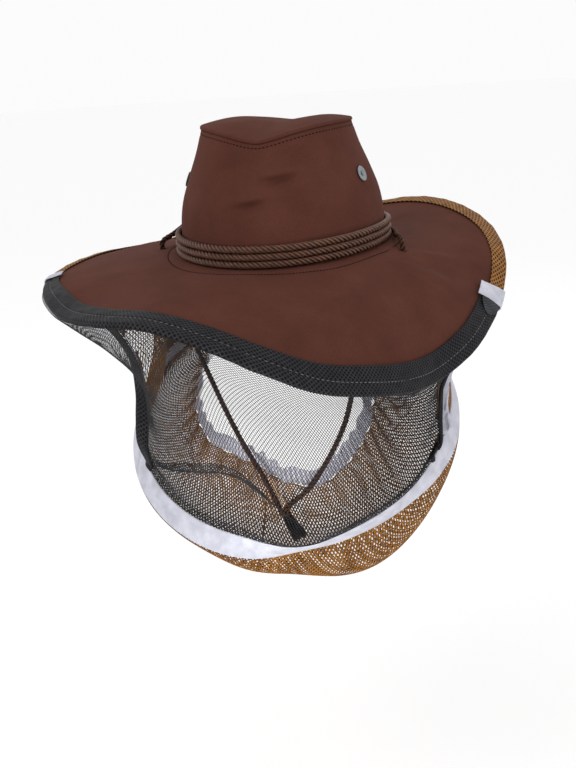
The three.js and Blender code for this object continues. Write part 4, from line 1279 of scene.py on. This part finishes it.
def makePanelNet(name, node, slotName, panel, look, material, span=(0.0, 1.0)):
    rows, shares, falls = np.linspace(*span, 33), np.linspace(0, 1, 400), np.linspace(*span, 200)
    widths = np.array([pathLength(panel(shares, np.full(400, row))) for row in rows])
    length = float(np.mean([pathLength(panel(np.full(200, u), falls)) for u in np.linspace(0, 1, 9)]))
    widest = float(widths.max())
    columns, steps = int(widest / look["spacing"]), int(length / look["spacing"] / look["rise"])
    bm = diamondGrid(columns, steps, (widest, length))

    def surface(s, t):
        v = span[0] + (span[1] - span[0]) * (1 - t)
        width = np.interp(v, rows, widths)
        margin = 0.9 / width
        return panel(np.clip(0.5 + (s - 0.5) * widest / width, margin, 1 - margin), v)

    outside = []
    for face in bm.faces:
        middle = face.calc_center_median()
        v = span[0] + (span[1] - span[0]) * (0.5 - middle.y)
        if abs(middle.x) > 0.5 * np.interp(v, rows, widths) / widest:
            outside.append(face)
    bmesh.ops.delete(bm, geom=outside, context="FACES")
    bendVerts(bm, surface)
    mergeVerts(bm)
    bmesh.ops.dissolve_degenerate(bm, edges=bm.edges, dist=0.00005)
    return finishNet(name, bm, look, material, slotName, node, length)


frontNet, frontCut, frontArea = makePanelNet(
    "frontNet", "front_net", "black_net", foldedFront, frontNetLook, blackStrand, (-0.016, 1.0),
)
backNet, backCut, backArea = makePanelNet(
    "backNet", "back_net", "brown_net", foldedBack, backNetLook, brownStrand,
)
foldNet = makePanelNet("frontFoldNet", None, "black_net", foldStrip, hemNetLook, blackStrand)[0]
frontHemNet = makePanelNet("frontHemNet", None, "black_net", frontPanel, hemNetLook, blackStrand, hemSpan)[0]
backHemNet = makePanelNet("backHemNet", None, "brown_net", backPanel, hemNetLook, brownStrand, hemSpan)[0]


def makeSkirt():
    around, falls = np.linspace(0, 1, 400), np.linspace(0, 1, 100)
    circumference = pathLength(skirtPoint(around, np.zeros(400)))
    length = float(np.mean([pathLength(skirtPoint(np.full(100, u), falls)) for u in np.linspace(0, 1, 24)]))
    columns, steps = int(circumference / skirtNetLook["spacing"]), int(length / skirtNetLook["spacing"])
    bm = diamondGrid(columns, steps, (circumference, length))

    def surface(u, t):
        v = 1 - t
        place = skirtPoint(u, v)
        gathers = np.sin(2 * np.pi * 34 * u + 1.5 * np.sin(2 * np.pi * 5 * u))
        gathers = gathers * np.clip((v - 0.35) / 0.65, 0, 1) ** 1.5 * 1.6
        side = unit(points(place[:, 0] - neckCentre[0], place[:, 1] - neckCentre[1], 0) + np.array([0, 0, -0.6]))
        return place + scaled(side, gathers)

    bendVerts(bm, surface)
    mergeVerts(bm)
    return finishNet("skirtNet", bm, skirtNetLook, brownStrand, "brown_net", "skirt_net", length)


skirtNet, skirtCut, skirtArea = makeSkirt()
print("nets done")

# Side seams
hemLook = {
    "Right": {"fromStart": True, "seed": 0.6, "broad": 1.35, "turn": 0.9, "inset": 1.2},
    "Left": {"fromStart": False, "seed": 2.1, "broad": 0.7, "turn": 0.2, "inset": 4},
}
tapeLook = {"Right": {"fromStart": False, "reach": 1}, "Left": {"fromStart": True, "reach": 0.75}}
hemHalfWidth, hemHalfThickness, sideTapeWidth = 5, 1.6, 12
tapeFlare = {
    "share": [0, 0.2, 0.4, 0.62, 0.8, 1],
    "Right": [4, 16, 42, 24, 42, 12],
    "Left": [0, 50, 58, 40, 50, 34],
}


def besideSeam(panel, fromStart, inward, v):
    edge, near = (0.0, 0.01) if fromStart else (1.0, 0.99)
    width = np.linalg.norm(panel(edge, v) - panel(near, v), axis=-1) / 0.01
    share = (0.9 + inward) / width
    u = share if fromStart else 1 - share
    place = panel(u, v)
    across = unit(panel(near, v) - panel(edge, v))
    return place, panelNormal(panel, u, v), across


def makeHem(side, look):
    bm = newGrid(90, 18, (180, 26))
    seed = look["seed"]

    def surface(u, t):
        around = 2 * np.pi * t
        place, normal, across = besideSeam(frontPanel, look["fromStart"], look["inset"], 0.02 + 0.965 * u)
        twist = look["turn"] * np.sin(np.pi * np.clip(u, 0, 1)) * (1.15 + 0.25 * np.sin(9 * u + seed))
        wide = hemHalfWidth * look["broad"] * (1 - 0.2 * np.sin(8 * u + seed) ** 2)
        thick = hemHalfThickness * (1 + 0.25 * np.sin(21 * u + 3 * around + seed))
        x, y = wide * np.cos(around), thick * np.sin(around)
        inward, outward = x * np.cos(twist) + y * np.sin(twist), y * np.cos(twist) - x * np.sin(twist)
        stand = 2.6 + 0.3 * hemHalfWidth * np.sin(twist) + outward
        return place + scaled(across, inward) + scaled(normal, stand)

    node = "side_hem_" + side.lower()
    return bentPiece("sideHem" + side, "black_hem", node, bm, surface, blackFold, amend=fillEnds)


def makeSeamTape(side, look):
    bm = newGrid(6, 80, (12, 170))

    def surface(s, t):
        v = (0.05 + 0.935 * (1 - t)) * look["reach"]
        width = sideTapeWidth * s
        flare = np.radians(readAlong(tapeFlare, side, v))
        place, normal = besideSeam(backPanel, look["fromStart"], 0.4 + width * np.cos(flare), v)[:2]
        stand = netThickness / 2 + clearance + 0.8 + width * np.sin(flare) + 0.35 * np.sin(26 * v + 2 * s)
        return place + scaled(normal, stand)

    return bentPiece(
        "sideTape" + side, "white_tape", "side_tape_" + side.lower(), bm, surface, whiteTape, closed=False,
        wall={"thickness": 0.8, "offset": 0, "even": False},
    )


for side in ("Right", "Left"):
    makeHem(side, hemLook[side])
for side in ("Right", "Left"):
    makeSeamTape(side, tapeLook[side])

# Hoop
hoopLook = {"columns": 260, "section": 20}


def hoopSurface(u, t):
    degrees = u * 360
    c, s = np.cos(2 * np.pi * t), np.sin(2 * np.pi * t)
    down = hoopSize["tapeWidth"] / 2 * np.sign(c) * np.abs(c) ** 0.35
    out = hoopSize["tapeThickness"] * 0.45 * np.sign(s) * np.abs(s) ** 0.55
    return hoopPoint(degrees, down, out + 0.25 * ripple(radians(degrees) * 9, down / 8, 0.9))


bentPiece(
    "hoop", "hoop_tape", "hoop", newGrid(hoopLook["columns"], hoopLook["section"], (925, 44)), hoopSurface,
    whiteTape,
)

# Neck ruffle
ruffleLook = {"columns": 1360, "rows": 8, "pleats": 170}


def pleatTurn(share):
    return 2 * np.pi * (ruffleLook["pleats"] * share + 0.6 * np.sin(22 * np.pi * share))


def makeRuffle():
    bm = newGrid(ruffleLook["columns"], ruffleLook["rows"], (900, 19))
    up = math.sqrt(neckSize["ruffleWidth"] ** 2 - neckSize["inward"] ** 2)

    def surface(u, t):
        phase = 2 * np.pi * (neckSize["gathers"] * u + 0.35 * np.sin(14 * np.pi * u))
        size = 0.75 + 0.25 * np.sin(8 * np.pi * u + 1)
        pinch = 0.22 + 0.78 * np.abs(2 * t - 0.85)
        wave = neckSize["gatherDepth"] * 0.75 * size * np.sin(phase) * pinch
        wave = wave + 0.7 * np.sin(pleatTurn(u)) * (1 - 0.45 * t)
        lift = up * t + 0.5 * np.sin(phase * 0.5 + 1) * t
        return neckPoint(u * 360, neckSize["inward"] * t - wave, lift)

    # painted pleat shade: a 0 to 1 weight per vertex that follows the pleat wave and darkens the ruffle colour
    pleatShadeLayer = bm.verts.layers.float.new("pleatShade")
    for vert in bm.verts:
        vert[pleatShadeLayer] = 0.5 + 0.5 * math.sin(pleatTurn(vert.co.x + 0.5))
    wall = {"thickness": 0.8, "offset": 0}
    return bentPiece("neckRuffle", "ruffle_cloth", "neck_ruffle", bm, surface, ruffleCloth, wall=wall)


makeRuffle()
print("veil and neck done")

# Floor
floorLook = {"height": -0.6, "radius": 30, "grey": 0.985}
floorBm = bmesh.new()
bmesh.ops.create_circle(floorBm, segments=64, radius=floorLook["radius"], cap_ends=True)
bmesh.ops.translate(floorBm, verts=floorBm.verts, vec=(0, 0, floorLook["height"]))
floorMaterial = newMaterial("floor", Roughness=0.9, Base_Color=(*[floorLook["grey"]] * 3, 1))[0]
floor = makeMesh("floor", floorBm, floorMaterial, smooth=False)
